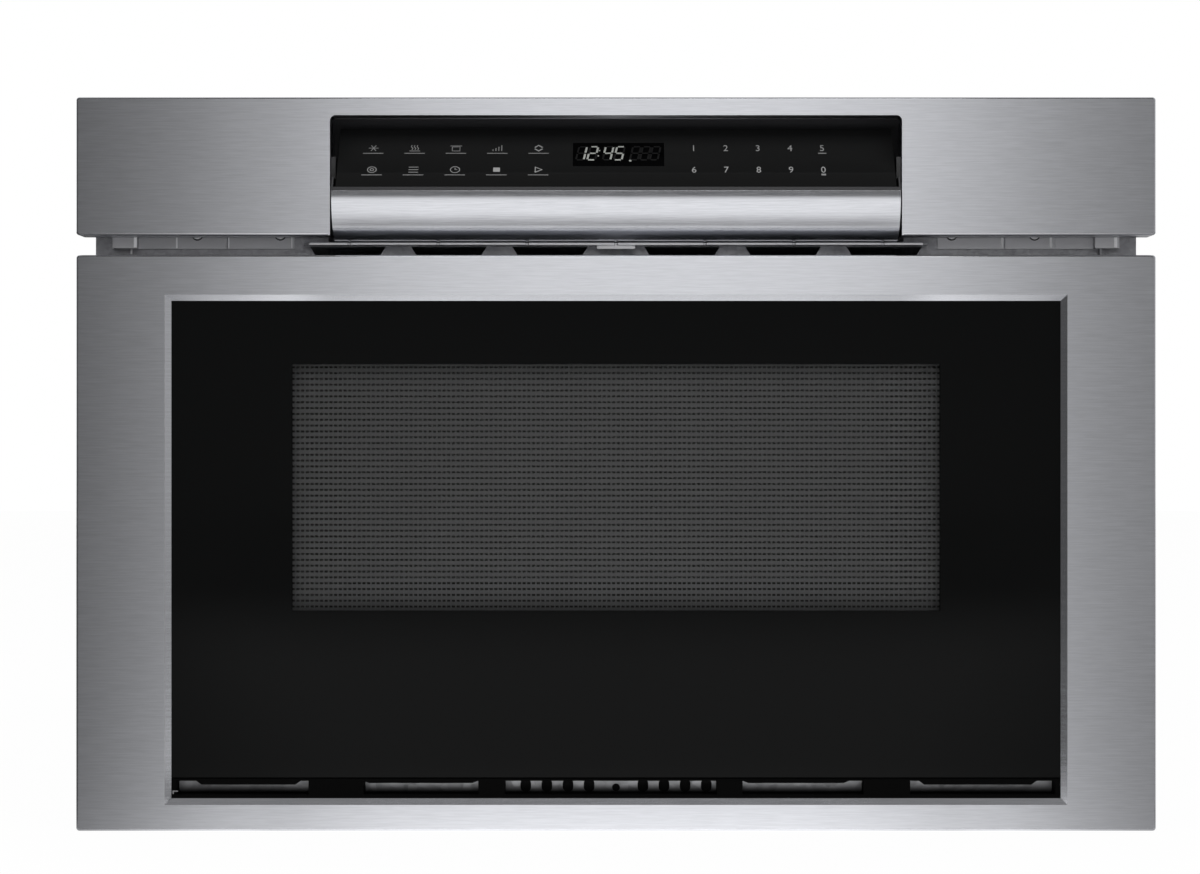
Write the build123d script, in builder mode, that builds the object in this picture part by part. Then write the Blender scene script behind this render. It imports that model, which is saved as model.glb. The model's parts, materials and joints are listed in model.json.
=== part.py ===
from build123d import *
import os
from math import acos, cos, pi, radians, sin, sqrt, tan

# Built-in microwave drawer, millimetres. X is the width, the door faces -Y, Z is up.
# The origin is the centre of the underside of the chassis base, which stands on the cabinet shelf.

os.makedirs("parts", exist_ok=True)

# ---------------------------------------------------------------- front panels
front_width = 758.8  # door and fascia
door_height = 404.7
fascia_height = 97.0
front_gap = 14.0  # shadow gap between the door and the fascia
door_drop = 8.0  # the door hangs this far below the chassis base
panel_sheet = 1.2
panel_corner = 2.2  # corner radius seen from the front
panel_edge = 1.5  # rolled edge between the face and the returns
glass_edge = 0.8  # ground edges of glass and mica
door_return = 24.0  # depth of the door frame's folded sides
fascia_return = 26.0

# ---------------------------------------------------------------- chassis
case_width = 715.0
case_height = 500.0
case_depth = 590.0
case_sheet = 1.0
base_sheet = 1.2
flange_width = 741.0
flange_rise = 4.0  # above the case
flange_sheet = 1.5
front_standoff = 30.0  # from the flange's face to the front plane
base_wall = 14.0
air_slot = 5.0  # width of the long air slots in base, sides and rear
air_slot_step = 12.0
base_slot_length = 18.0
base_slot_spacing = 26.0
base_slots = (14, 3)
base_inlet_margin = 40.0
louvre_from_rear = 80.0
louvre_height = 300.0
louvre_length = 50.0
louvre_spacing = 62.0
louvre_step = 14.0
louvres = (2, 9)
rear_slot_length = 36.0
rear_slot_spacing = 44.0
rear_slots = (3, 9)
grille_hole = 6.0  # across half of a hexagon of the fan grille
grille_web = 1.6
grille_count = 8
port_in = 184.0  # openings of the flange for the arms and slides
port_out = 232.0
port_low = 52.0
port_high = 112.0
latch_x = 300.0
latch_z = 110.0
latch_clear = 9.0
gland_x = 300.0
gland_z = 60.0
gland_radius = 9.0
gland_flange = 4.0  # wider than the neck, outside the rear cover
gland_flange_sheet = 2.0
gland_nut = 1.0  # narrower than the neck, inside
mount_hole_radius = 2.25
mount_hole_x = 364.0
mount_hole_low = 25.0
mount_hole_pitch = 340.0

# ---------------------------------------------------------------- clearances
seat_gap = 0.3  # between pieces that are seated but not pressed
running_gap = 0.05  # radial, shafts in their bearings
slide_gap = 0.35  # between nested slide members
door_gap = 1.5  # between the choke cover and the flange

# ---------------------------------------------------------------- door
window_frame_half = 313.0  # opening of the door frame, inner edge of its bevel
window_frame_low = 14.5
window_frame_high = 364.7
bevel = 4.2
glass_thickness = 4.0
glass_low = 28.5  # the air slot lies under this edge
glass_lap = 5.0  # glass hidden behind the bevel
screen_half = 228.0  # seen window
screen_low = 146.6
screen_high = 320.1
screen_sheet = 0.6
screen_lap = 8.0
back_sheet = 1.2
intake_hole_width = 7.6
intake_hole_height = 10.0
intake_hole_pitch = 15.0
intake_hole_offset = 19.1
intake_holes = 4  # on each side of the middle
intake_middle_drop = 1.5  # the small middle hole sits lower
intake_middle_radius = 2.8
channel_floor = 2.5  # black edge under and over the windows of the lower air channel
channel_ceiling = 1.8
tab_slant = 4.0  # slanted ends of the tabs that hang into those windows
door_screw_x = 120.0
door_screw_inset = 39.4  # outer rows, from the door's edge
door_screw_margin = 24.0
door_screw_rows = 3

# ---------------------------------------------------------------- cavity and bin
mouth_half = 246.0
mouth_low = 128.0
mouth_high = 345.0
cavity_depth = 455.0
cavity_sheet = 1.0
cavity_corner = 12.0
bin_half = 233.5
bin_low = 140.0
bin_high = 322.0
bin_depth = 439.5
bin_sheet = 1.2
bin_corner = 14.0
bin_floor_round = 7.0
bin_rim = 6.0
shelf_thickness = 4.0
shelf_round = 1.0
shelf_gap = 1.0  # to the rounded edges of the bin's floor
inner_glass_thickness = 3.0
choke_lap = 6.0  # flat land around the mouth
choke_width = 28.0  # quarter-wave trough
choke_sheet = 1.0
choke_slot_pitch = 22.0
choke_slot_width = 3.0
choke_slot_depth = 9.0
choke_cover_sheet = 1.5

# ---------------------------------------------------------------- slides
travel = 385.0
slide_height = 45.7
slide_length = 450.0
slide_sheet = 1.2
slide_depth = 14.0
slide_centre = 84.0
slide_web = 228.0  # outer face of the fixed member, from the middle
slide_front = -290.0
slide_lip = 2.3
slide_step = 2.0  # the fixed member stays this far behind the inner one
bracket_sheet = 2.0
bracket_foot = 25.0
bracket_windows = 4
bracket_window = (75.0, 24.0)  # lightening windows under the rail
arm_sheet = 2.0
arm_slots = 4
arm_slot = (50.0, 12.0)
arm_slot_pitch = 90.0
arm_slot_rise = 8.0
arm_corner = 6.0
arm_low = 62.0
arm_high = 106.0
arm_back = 158.0
arm_foot = 23.0
arm_foot_pitch = 17.0
door_screw_radius = 2.0
cross_front = 130.0
cross_back = 156.0
cross_low = 80.0
cross_high = 104.0

# ---------------------------------------------------------------- rack drive
gear_module = 2.0
pinion_teeth = 16
pressure_angle = 20.0
addendum = 1.8
dedendum = 2.5
tooth_root = 0.5  # the teeth start this far inside the root circle
backlash = 0.3
pinion_y = -255.0
pinion_z = 45.0
pinion_face = 10.4
pinion_shaft_radius = 4.0
pinion_shaft_length = 26.0
pinion_hub_radius = 7.0
pinion_hub_length = 1.5
rack_face = 10.0
rack_front_run = 20.0  # rack ahead of the pinion when the drawer is shut
rack_spare = 10.0  # rack behind the pinion when the drawer is open
rack_body = 12.0
gearbox_length = 24.0
gearbox_width = 62.0
gearbox_height = 50.0
motor_radius = 20.0
can_round = 3.0  # rounded ends of motor cans and lamp housing
motor_length = 56.0
motor_plate = 2.0
motor_plate_corner = 5.0
shaft_clearance = 2.0  # radial, where a shaft passes a plate
gearbox_inset = 4.0
gearbox_corner = 9.0
gearbox_bevel = 2.0
pinion_side_gap = 0.5

# ---------------------------------------------------------------- control head
head_half = 201.0  # cut-out in the fascia
head_rise = 84.3  # height of the cut-out
head_corner = 5.6
pocket_wall = 2.0
pocket_drop = 2.5  # underside of the pocket's floor, below the fascia
pocket_depth = 41.0
control_half = 196.0
control_thickness = 3.5
control_foot = (-13.0, 33.0)  # glass: behind the front plane, above the fascia's lower edge
control_head = (31.0, 78.0)
lip_radius = 34.0
lip_centre = (19.0, 30.0)
lip_half = 198.8
lip_sheet = 1.2
lip_rise = 2.7
ear_rise = 10.0  # end ears of the lip, above the roll's axis
ear_lean = 7.0
ear_front_rise = 3.3
ear_flange_low = 9.5  # steel flanges beside the glass, above the roll's axis
ear_flange_height = 16.0
ear_flange_width = 3.0
ear_flange_y = 21.0  # behind the lip's front
vent_lip_half = 221.0
vent_lip_depth = 15.5
vent_lip_sheet = 1.8
vent_lip_corner = 4.0
vent_notches = 7
vent_notch_pitch = 62.9
vent_notch = 2.0
vent_tab_half = 13.7
vent_tab_drop = 2.6
vents = 3  # on each side of the middle
vent_first = 47.0
vent_pitch = 72.0
vent_width = 54.0
vent_height = 14.0
vent_slant = 9.0
bracket_in = 229.0  # fascia brackets
bracket_out = 357.0
bracket_drop = 8.0  # below the fascia
bracket_shelf_rise = 7.3  # above the fascia's lower edge
bracket_slot_x = 276.3
bracket_slot = 0.8
bracket_step_x = 312.6
bracket_step = 0.7  # outside this place the sheet stands further forward
clip_x = 339.7
clip_depth = 9.0
pin_x = 344.5
pin_radius = 1.0
pin_drop = 13.0  # below the bracket
fascia_screw_x = (239.0, 298.0)
fascia_screw_rise = 2.1
screw_radius = 3.4
screw_height = 1.7
display_x = 1.8
display_width = 66.0
board_length = 44.0
board_half = 180.0
board_sheet = 1.6
board_parts = ((-120.0, 30.0, 8.0), (-60.0, 18.0, 6.0), (70.0, 40.0, 9.0), (130.0, 22.0, 12.0))
board_part_margin = 8.0
board_part_length = 18.0
display_height = 34.0
display_depth = 9.0

# ---------------------------------------------------------------- microwave parts
guide_width = 92.0
guide_height = 40.0
guide_sheet = 1.5
guide_back = 250.0
chamber_radius = 85.0
chamber_y = -40.0
ceiling_hole = 78.0
stirrer_radius = 70.0
stirrer_shaft_radius = 3.0
stirrer_shaft_up = 14.0  # into the motor
stirrer_cover_sheet = 1.5
stirrer_cover_lap = 4.0
stirrer_hub_radius = 9.0
stirrer_hub_length = 12.0
stirrer_blades = 4
stirrer_blade = (64.0, 24.0, 1.2)
stirrer_pitch = 25.0  # degrees
stirrer_foot = 4.0  # shaft's end above the cavity
stirrer_motor_radius = 24.0
stirrer_motor_height = 16.0
stirrer_motor_ears = (68.0, 12.0)
stirrer_motor_plate = 2.0
antenna_hole = 19.0
antenna_radius = 8.5
antenna_length = 22.0
magnetron_y = 205.0
magnetron_width = 95.0
magnetron_depth = 80.0
magnetron_height = 92.0
yoke_sheet = 2.0
anode_radius = 20.0
magnet_radius = 27.0
magnet_height = 13.0
fin_count = 6
fin_first = 21.0
fin_pitch = 10.0
fin_sheet = 1.0
fin_inset = 4.0  # fins end this far inside the yoke's outline
filter_box = (60.0, 52.0, 28.0)
fan_x = 150.0
fan_z = 250.0
fan_radius = 58.0
fan_hub_radius = 14.0
fan_blades = 7
fan_shaft_radius = 2.5
fan_shaft_end = 2.0  # behind the motor
shaft_bevel = 0.5
fan_depth = 14.0
shroud_gap = 4.0
shroud_wall = 2.0
shroud_length = 36.0
shroud_plate = 140.0
shroud_corner = 8.0
strut_count = 3
strut_depth = 4.0
strut_width = 8.0
strut_overlap = 3.0
motor_seat_radius = 24.0
fan_motor_length = 26.0
stack_start = 5.0  # laminated stack of the fan motor, from the shroud
stack_size = (56.0, 72.0)
stack_length = 14.0
stack_corner = 3.0
stack_drop = 8.0
coil_start = 1.0
coil_size = (30.0, 20.0)
coil_length = 22.0
coil_drop = 36.0
blade_sheet = 2.4
blade_root = 2.0  # the blades start this far inside the hub
blade_margin = 1.0  # shorter than the hub, at both ends
blade_sections = 3
fan_twist = 30.0
fan_behind = 4.0  # between the blades and the struts
shaft_press = 0.02  # radial play of the blade's hub on its shaft
duct_half = 225.0
duct_back_half = 150.0
duct_length = 155.0
duct_margin = 2.2

# ---------------------------------------------------------------- electrical parts
transformer_x = -170.0
transformer_y = 225.0
core_size = (100.0, 48.0, 84.0)
core_window = (16.0, 52.0)
core_window_x = 25.0
windings = ((20.0, 24.0, 47.0, 86.0), (48.0, 18.0, 45.0, 78.0))  # rise, height, width, depth
winding_corner = 10.0
foot_plate = (120.0, 60.0, 2.0)
foot_holes = (110.0, 40.0)
foot_hole_radius = 2.5
capacitor_x = -60.0
capacitor_size = (54.0, 34.0, 88.0)
clamp_wall = 1.5
clamp_rise = 40.0
clamp_height = 16.0
terminal_spacing = 22.0
terminal = (6.0, 1.0, 8.0)
filter_x = 60.0
filter_board = (90.0, 60.0)
filter_post_spacing = (78.0, 48.0)
filter_post_radius = 3.0
filter_post_height = 8.0
filter_parts = ((-24.0, 15.0, 22.0), (12.0, 8.0, 18.0), (32.0, 6.0, 12.0))  # place, radius, height
gland_bore = 4.5
gland_inside = 8.0
lamp_y = 92.0
lamp_z = 310.0
lamp_size = (44.0, 50.0, 24.0)
lamp_corner = 5.0
lamp_socket_radius = 9.0
lamp_socket_length = 14.0
latch_sheet = 2.0
latch_length = 42.0
latch_nose = 8.0
latch_half = 6.0
latch_neck = 3.0
latch_foot_half = 14.0
latch_foot_width = 7.0
switch_width = 7.0
switch_size = (28.0, 16.0)
switch_back = 22.0  # middle of the switch, behind the flange
switch_corner = 1.5
switch_bracket_length = 40.0
switch_bracket_foot = 24.0
case_screw_inset = 7.5
case_screw_margin = 20.0
case_screw_rows = 4
case_screw_x = 120.0

# ---------------------------------------------------------------- derived planes
flange_back = -case_depth / 2
flange_front = flange_back - flange_sheet
front_y = flange_front - front_standoff
rear_y = case_depth / 2
door_low = -door_drop
door_high = door_low + door_height
fascia_low = door_high + front_gap
fascia_high = fascia_low + fascia_height
rear_inner = rear_y - base_sheet
case_half = case_width / 2
flange_top = case_height + flange_rise
glass_front = front_y + bevel
glass_back = glass_front + glass_thickness
door_back = front_y + door_return
choke_back = flange_front - door_gap - choke_cover_sheet
pitch_radius = gear_module * pinion_teeth / 2
rack_pitch_z = pinion_z + pitch_radius
rack_step = pi * gear_module


def facing(y):
    """A plane at depth y that faces the viewer, with x to the right and z up."""
    return Plane(origin=(0, y, 0), x_dir=(1, 0, 0), z_dir=(0, -1, 0))


def upright(x):
    """A plane across the width at x, whose axes run along Y and Z."""
    return Plane(origin=(x, 0, 0), x_dir=(0, 1, 0), z_dir=(1, 0, 0))


def outline(x_low, x_high, z_low, z_high, mode=Mode.ADD):
    """A rectangle between two widths and two heights, in the sketch that is open."""
    with Locations(((x_low + x_high) / 2, (z_low + z_high) / 2)):
        Rectangle(x_high - x_low, z_high - z_low, mode=mode)


def block(x_low, x_high, y_low, y_high, z_low, z_high, mode=Mode.ADD):
    """A rectangular stretch of material between two corners, in the part that is open."""
    middle = ((x_low + x_high) / 2, (y_low + y_high) / 2, (z_low + z_high) / 2)
    with Locations(middle):
        Box(x_high - x_low, y_high - y_low, z_high - z_low, mode=mode)


def spread(low, high, count):
    """Evenly spaced places between two ends."""
    return [low + (high - low) * step / (count - 1) for step in range(count)]


# ================================================================ door
bevel_half = window_frame_half + bevel
bevel_low = window_frame_low - bevel
bevel_high = window_frame_high + bevel
funnel_wall = panel_sheet * sqrt(2)

with BuildPart() as door_frame:
    with BuildSketch(facing(front_y)):
        with Locations((0, (door_low + door_high) / 2)):
            RectangleRounded(front_width, door_height, panel_corner)
    extrude(amount=-door_return)
    fillet(door_frame.faces().sort_by(Axis.Y)[0].edges(), panel_edge)
    offset(amount=-panel_sheet, openings=door_frame.faces().sort_by(Axis.Y)[-1])
    # the bevel is a funnel folded back around the window opening
    for lap, mode in ((funnel_wall, Mode.ADD), (0, Mode.SUBTRACT)):
        with BuildSketch(facing(front_y)):
            outline(-bevel_half - lap, bevel_half + lap, bevel_low - lap, bevel_high + lap)
        with BuildSketch(facing(glass_front)):
            outline(-window_frame_half - lap, window_frame_half + lap,
                    window_frame_low - lap, window_frame_high + lap)
        loft(mode=mode)
door_frame.part.label = "door_frame"
export_step(door_frame.part, "parts/door_frame.step")

with BuildPart() as door_glass:
    with BuildSketch(facing(glass_front)):
        outline(-window_frame_half - glass_lap, window_frame_half + glass_lap,
                glass_low, window_frame_high + glass_lap)
    extrude(amount=-glass_thickness)
    chamfer(door_glass.faces().sort_by(Axis.Y)[0].edges().sort_by(Axis.Z)[0], glass_edge)
door_glass.part.label = "door_glass"
export_step(door_glass.part, "parts/door_glass.step")

# choke: a land around the mouth of the cavity and a trough outside it
land_half = mouth_half + choke_lap
land_low = mouth_low - choke_lap
land_high = mouth_high + choke_lap
choke_half = land_half + choke_width
choke_low = land_low - choke_width
choke_high = land_high + choke_width
trough_y = glass_back + seat_gap

with BuildPart() as choke_panel:
    with BuildSketch(facing(choke_back)):
        outline(-choke_half, choke_half, choke_low, choke_high)
    extrude(amount=choke_back - trough_y)
    # trough, open to the back
    with BuildSketch(facing(choke_back)):
        outline(-choke_half + choke_sheet, choke_half - choke_sheet,
                choke_low + choke_sheet, choke_high - choke_sheet)
        outline(-land_half, land_half, land_low, land_high, mode=Mode.SUBTRACT)
    extrude(amount=choke_back - trough_y - choke_sheet, mode=Mode.SUBTRACT)
    # the land is a pan, open to the glass
    with BuildSketch(facing(choke_back - choke_sheet)):
        outline(-land_half + choke_sheet, land_half - choke_sheet,
                land_low + choke_sheet, land_high - choke_sheet)
    extrude(amount=choke_back - choke_sheet - trough_y, mode=Mode.SUBTRACT)
    # window through the land
    with BuildSketch(facing(choke_back)):
        outline(-screen_half, screen_half, screen_low, screen_high)
    extrude(amount=choke_sheet, mode=Mode.SUBTRACT)
    # slots in the trough's outer wall
    across = int(2 * choke_half / choke_slot_pitch)
    for z in (choke_low, choke_high):
        with Locations((0, choke_back - choke_slot_depth / 2, z)):
            with GridLocations(choke_slot_pitch, 1, across, 1):
                Box(choke_slot_width, choke_slot_depth, 2 * choke_sheet, mode=Mode.SUBTRACT)
choke_panel.part.label = "choke_panel"
export_step(choke_panel.part, "parts/choke_panel.step")

with BuildPart() as choke_cover:
    with BuildSketch(facing(choke_back + choke_cover_sheet)):
        outline(-choke_half, choke_half, choke_low, choke_high)
        outline(-land_half, land_half, land_low, land_high, mode=Mode.SUBTRACT)
    extrude(amount=choke_cover_sheet)
choke_cover.part.label = "choke_cover"
export_step(choke_cover.part, "parts/choke_cover.step")

with BuildPart() as door_screen:
    with BuildSketch(facing(choke_back - choke_sheet - screen_sheet)):
        outline(-screen_half - screen_lap, screen_half + screen_lap,
                screen_low - screen_lap, screen_high + screen_lap)
    extrude(amount=-screen_sheet)
door_screen.part.label = "door_screen"
export_step(door_screen.part, "parts/door_screen.step")

# back of the door, a steel plate that fills the frame's tray around the choke
plate_half = front_width / 2 - panel_sheet - seat_gap
intake_middle = (window_frame_low + glass_low) / 2
with BuildPart() as door_back_plate:
    with BuildSketch(facing(door_back)):
        outline(-plate_half, plate_half, door_low + panel_sheet + seat_gap,
                door_high - panel_sheet - seat_gap)
        outline(-choke_half - seat_gap, choke_half + seat_gap, choke_low - seat_gap,
                choke_high + seat_gap, mode=Mode.SUBTRACT)
        # air holes in two groups around a small one
        for side in (-1, 1):
            for step in range(intake_holes):
                with Locations((side * (intake_hole_offset + step * intake_hole_pitch),
                                intake_middle)):
                    SlotOverall(intake_hole_height, intake_hole_width, rotation=90,
                                mode=Mode.SUBTRACT)
        with Locations((0, intake_middle - intake_middle_drop)):
            Circle(intake_middle_radius, mode=Mode.SUBTRACT)
    extrude(amount=back_sheet)
door_back_plate.part.label = "door_back_plate"
export_step(door_back_plate.part, "parts/door_back_plate.step")

# Lower air channel: a black moulding under the glass with five windows. Each window is given by its
# ends and by the ends and drop of the tab that hangs into it, as shares of the opening's half width.
channel_windows = ((-0.990, -0.692, -0.945, -0.709, 2.7), (-0.568, -0.310, -0.568, -0.310, 1.6),
                   (-0.250, 0.227, 0, 0, 0), (0.285, 0.557, 0.285, 0.525, 1.6),
                   (0.662, 0.988, 0.681, 0.947, 2.7))
channel_front = glass_front + seat_gap
channel_low = window_frame_low - bevel / 2
window_top = glass_low - channel_ceiling
with BuildPart() as door_air_channel:
    with BuildSketch(facing(channel_front)):
        outline(-window_frame_half - glass_lap, window_frame_half + glass_lap, channel_low,
                glass_low - seat_gap)
    extrude(amount=channel_front - door_back + back_sheet)
    with BuildSketch(facing(channel_front)):
        for left, right, tab_left, tab_right, drop in channel_windows:
            outline(left * window_frame_half, right * window_frame_half,
                    window_frame_low + channel_floor, window_top)
            if drop:
                tab_start, tab_end = tab_left * window_frame_half, tab_right * window_frame_half
                with BuildLine() as tab:
                    Polyline((tab_start, window_top), (tab_end, window_top),
                             (tab_end - tab_slant, window_top - drop),
                             (tab_start + tab_slant, window_top - drop), close=True)
                make_face(tab.edges(), mode=Mode.SUBTRACT)
    extrude(amount=channel_front - door_back, mode=Mode.SUBTRACT)
door_air_channel.part.label = "door_air_channel"
export_step(door_air_channel.part, "parts/door_air_channel.step")

# ================================================================ bin
bin_back = choke_back + bin_depth


def rounded_tub(half, y_low, y_high, z_low, z_high, corner, floor_round):
    """A block whose rear corners and floor edges are rounded, as a pressed tub is."""
    with BuildPart() as tub:
        with BuildSketch(Plane.XY.offset(z_low)):
            outline(-half, half, y_low, y_high)
        extrude(amount=z_high - z_low)
        fillet(tub.edges().filter_by(Axis.Z).group_by(Axis.Y)[-1], corner)
        floor_edges = tub.faces().sort_by(Axis.Z)[0].edges()
        fillet(floor_edges - [floor_edges.sort_by(Axis.Y)[0]], floor_round)
    return tub


bin_hollow = rounded_tub(bin_half - bin_sheet, choke_back - 1, bin_back - bin_sheet, bin_low + bin_sheet,
                         bin_high + 1, bin_corner - bin_sheet, bin_floor_round - bin_sheet)
with BuildPart() as drawer_bin:
    add(rounded_tub(bin_half, choke_back, bin_back, bin_low, bin_high, bin_corner, bin_floor_round).part)
    add(bin_hollow.part, mode=Mode.SUBTRACT)
    # flanges that screw to the choke land, at both sides and under the mouth
    with BuildSketch(facing(choke_back)):
        outline(-bin_half - bin_rim, bin_half + bin_rim, bin_low - bin_rim, bin_high)
        outline(-bin_half + bin_sheet, bin_half - bin_sheet, bin_low + bin_sheet, bin_high,
                mode=Mode.SUBTRACT)
    extrude(amount=-bin_sheet)
drawer_bin.part.label = "drawer_bin"
export_step(drawer_bin.part, "parts/drawer_bin.step")

with BuildPart() as inner_glass:
    with BuildSketch(facing(choke_back)):
        outline(-bin_half + bin_sheet + seat_gap, bin_half - bin_sheet - seat_gap,
                bin_low + bin_floor_round, bin_high)
    extrude(amount=-inner_glass_thickness)
inner_glass.part.label = "inner_glass"
export_step(inner_glass.part, "parts/inner_glass.step")

with BuildPart() as ceramic_shelf:
    shelf_edge = bin_floor_round + shelf_gap
    with BuildSketch(Plane.XY.offset(bin_low + bin_sheet)):
        with Locations((0, (choke_back + bin_back) / 2)):
            RectangleRounded(2 * (bin_half - bin_sheet - shelf_edge),
                             bin_depth - 2 * shelf_edge - inner_glass_thickness, bin_corner)
    extrude(amount=shelf_thickness)
    fillet(ceramic_shelf.faces().sort_by(Axis.Z)[-1].edges(), shelf_round)
ceramic_shelf.part.label = "ceramic_shelf"
export_step(ceramic_shelf.part, "parts/ceramic_shelf.step")

# ================================================================ slides
# Each member is one folded strip, drawn as its centre line across the width and height.
slide_half = slide_height / 2
outer_in = slide_web - slide_depth + slide_step  # mouth of the fixed member


def folded_strip(points, sheet):
    """A sheet of even thickness along a line of folds, in the sketch that is open."""
    with BuildLine() as folds:
        Polyline(*points)
        offset(amount=sheet, side=Side.RIGHT, kind=Kind.INTERSECTION)
    make_face(folds.edges())


def member(points, sheet, y_start):
    """A slide member: its section swept along the travel."""
    with BuildPart() as strip:
        with BuildSketch(facing(y_start)):
            folded_strip(points, sheet)
        extrude(amount=-slide_length)
    return strip


def channel(web_x, half, mouth_x, lip):
    """Outer line of a channel that opens towards the middle, with lips at its mouth."""
    top = slide_centre + half
    low = slide_centre - half
    return ((mouth_x, top - lip), (mouth_x, top), (web_x, top), (web_x, low),
            (mouth_x, low), (mouth_x, low + lip))


mid_web = slide_web - slide_sheet - slide_gap
mid_half = slide_half - slide_sheet - slide_gap
mid_in = outer_in + slide_sheet + slide_gap
inner_half = mid_half - slide_sheet - slide_gap
inner_foot = mid_in + slide_sheet + slide_gap
inner_web = slide_web - slide_depth
inner_neck = inner_half - slide_lip - slide_gap

slide_rail_right = member(channel(slide_web, slide_half, outer_in, slide_lip + slide_sheet),
                          slide_sheet, slide_front)
mid_rail_right = member(channel(mid_web, mid_half, mid_in, slide_lip), slide_sheet, slide_front)
hat = ((inner_foot, slide_centre - inner_half), (inner_foot, slide_centre - inner_neck),
       (inner_web, slide_centre - inner_neck), (inner_web, slide_centre + inner_neck),
       (inner_foot, slide_centre + inner_neck), (inner_foot, slide_centre + inner_half))
drawer_rail_right = member(hat, slide_sheet, slide_front)

with BuildPart() as slide_rail_left:
    mirror(slide_rail_right.part, about=Plane.YZ)
with BuildPart() as mid_rail_left:
    mirror(mid_rail_right.part, about=Plane.YZ)
with BuildPart() as drawer_rail_left:
    mirror(drawer_rail_right.part, about=Plane.YZ)

for rail, rail_name in ((slide_rail_left, "slide_rail_left"), (slide_rail_right, "slide_rail_right"),
                        (mid_rail_left, "mid_rail_left"), (mid_rail_right, "mid_rail_right"),
                        (drawer_rail_left, "drawer_rail_left"),
                        (drawer_rail_right, "drawer_rail_right")):
    rail.part.label = rail_name
    export_step(rail.part, f"parts/{rail_name}.step")

# brackets that stand on the base and carry the fixed members
rail_back = slide_front + slide_length
with BuildPart() as rail_bracket_right:
    with BuildSketch(facing(slide_front)):
        with BuildLine() as angle_iron:
            Polyline((slide_web, slide_centre + slide_half), (slide_web, base_sheet),
                     (slide_web + bracket_foot, base_sheet))
            offset(amount=bracket_sheet, side=Side.LEFT, kind=Kind.INTERSECTION)
        make_face(angle_iron.edges())
    extrude(amount=-slide_length)
    with BuildSketch(upright(slide_web)):
        with Locations(((slide_front + rail_back) / 2,
                        (base_sheet + bracket_sheet + slide_centre - slide_half) / 2)):
            with GridLocations(slide_length / bracket_windows, 1, bracket_windows, 1):
                SlotOverall(*bracket_window)
    extrude(amount=bracket_sheet, mode=Mode.SUBTRACT)
with BuildPart() as rail_bracket_left:
    mirror(rail_bracket_right.part, about=Plane.YZ)

# arms of the drawer, from the door to the rear cross-member
arm_out = inner_web  # the arm lies against the inner member
arm_in = arm_out - arm_sheet
with BuildPart() as carriage_arm_right:
    with BuildSketch(upright(arm_in)):
        outline(door_back, arm_back, arm_low, arm_high)
        with Locations(((door_back + arm_back) / 2, slide_centre + arm_slot_rise)):
            with GridLocations(arm_slot_pitch, 1, arm_slots, 1):
                SlotOverall(*arm_slot, mode=Mode.SUBTRACT)
    extrude(amount=arm_sheet)
    fillet(carriage_arm_right.edges().filter_by(Axis.X).group_by(Axis.Y)[-1], arm_corner)
    block(arm_in - arm_foot, arm_in, door_back, door_back + arm_sheet, arm_low, arm_high)
    # the front end steps down under the choke
    block(arm_in - arm_foot, arm_out, door_back, flange_front - seat_gap, choke_low - seat_gap,
          arm_high, mode=Mode.SUBTRACT)
    with BuildSketch(facing(door_back)):
        with Locations((arm_in - arm_foot / 2, (arm_low + choke_low) / 2)):
            with GridLocations(1, arm_foot_pitch, 1, 2):
                Circle(door_screw_radius)
    extrude(amount=-arm_sheet, mode=Mode.SUBTRACT)
with BuildPart() as carriage_arm_left:
    mirror(carriage_arm_right.part, about=Plane.YZ)

for pair in (("rail_bracket", rail_bracket_left, rail_bracket_right),
             ("carriage_arm", carriage_arm_left, carriage_arm_right)):
    for piece, side_name in ((pair[1], "left"), (pair[2], "right")):
        piece.part.label = f"{pair[0]}_{side_name}"
        export_step(piece.part, f"parts/{pair[0]}_{side_name}.step")

with BuildPart() as carriage_crossmember:
    with BuildSketch(upright(-arm_in)):
        with BuildLine() as cross_section:
            Polyline((cross_front, cross_high), (cross_front, cross_low), (cross_back, cross_low),
                     (cross_back, cross_high))
            offset(amount=bracket_sheet, side=Side.LEFT, kind=Kind.INTERSECTION)
        make_face(cross_section.edges())
    extrude(amount=2 * arm_in)
carriage_crossmember.part.label = "carriage_crossmember"
export_step(carriage_crossmember.part, "parts/carriage_crossmember.step")

# ================================================================ rack drive
# The pinion turns about X under the rack. At rest one of its teeth points straight up into a gap.
half_pressure = radians(pressure_angle)
base_radius = pitch_radius * cos(half_pressure)
tip_radius = pitch_radius + addendum
root_radius = pitch_radius - dedendum
tooth_half_angle = (pi / 2 - backlash / (2 * gear_module)) / pinion_teeth
involute_at_pitch = tan(half_pressure) - half_pressure


def flank_point(radius):
    """A point of the involute flank, as its distance from the axis and its angle from the tooth's middle."""
    angle = acos(base_radius / radius)
    return tooth_half_angle + involute_at_pitch - (tan(angle) - angle)


def polar(radius, angle):
    """A point of the pinion's outline, at an angle from straight up."""
    return (radius * sin(angle), radius * cos(angle))


with BuildSketch() as pinion_tooth:
    flank = [(radius, flank_point(radius)) for radius in
             (base_radius, (base_radius + pitch_radius) / 2, pitch_radius, tip_radius)]
    rising = [polar(radius, -angle) for radius, angle in flank]
    falling = [polar(radius, angle) for radius, angle in reversed(flank)]
    foot = flank[0][1]
    with BuildLine():
        Polyline(polar(root_radius - tooth_root, -foot), *rising, *falling,
                 polar(root_radius - tooth_root, foot), close=True)
    make_face()

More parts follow.
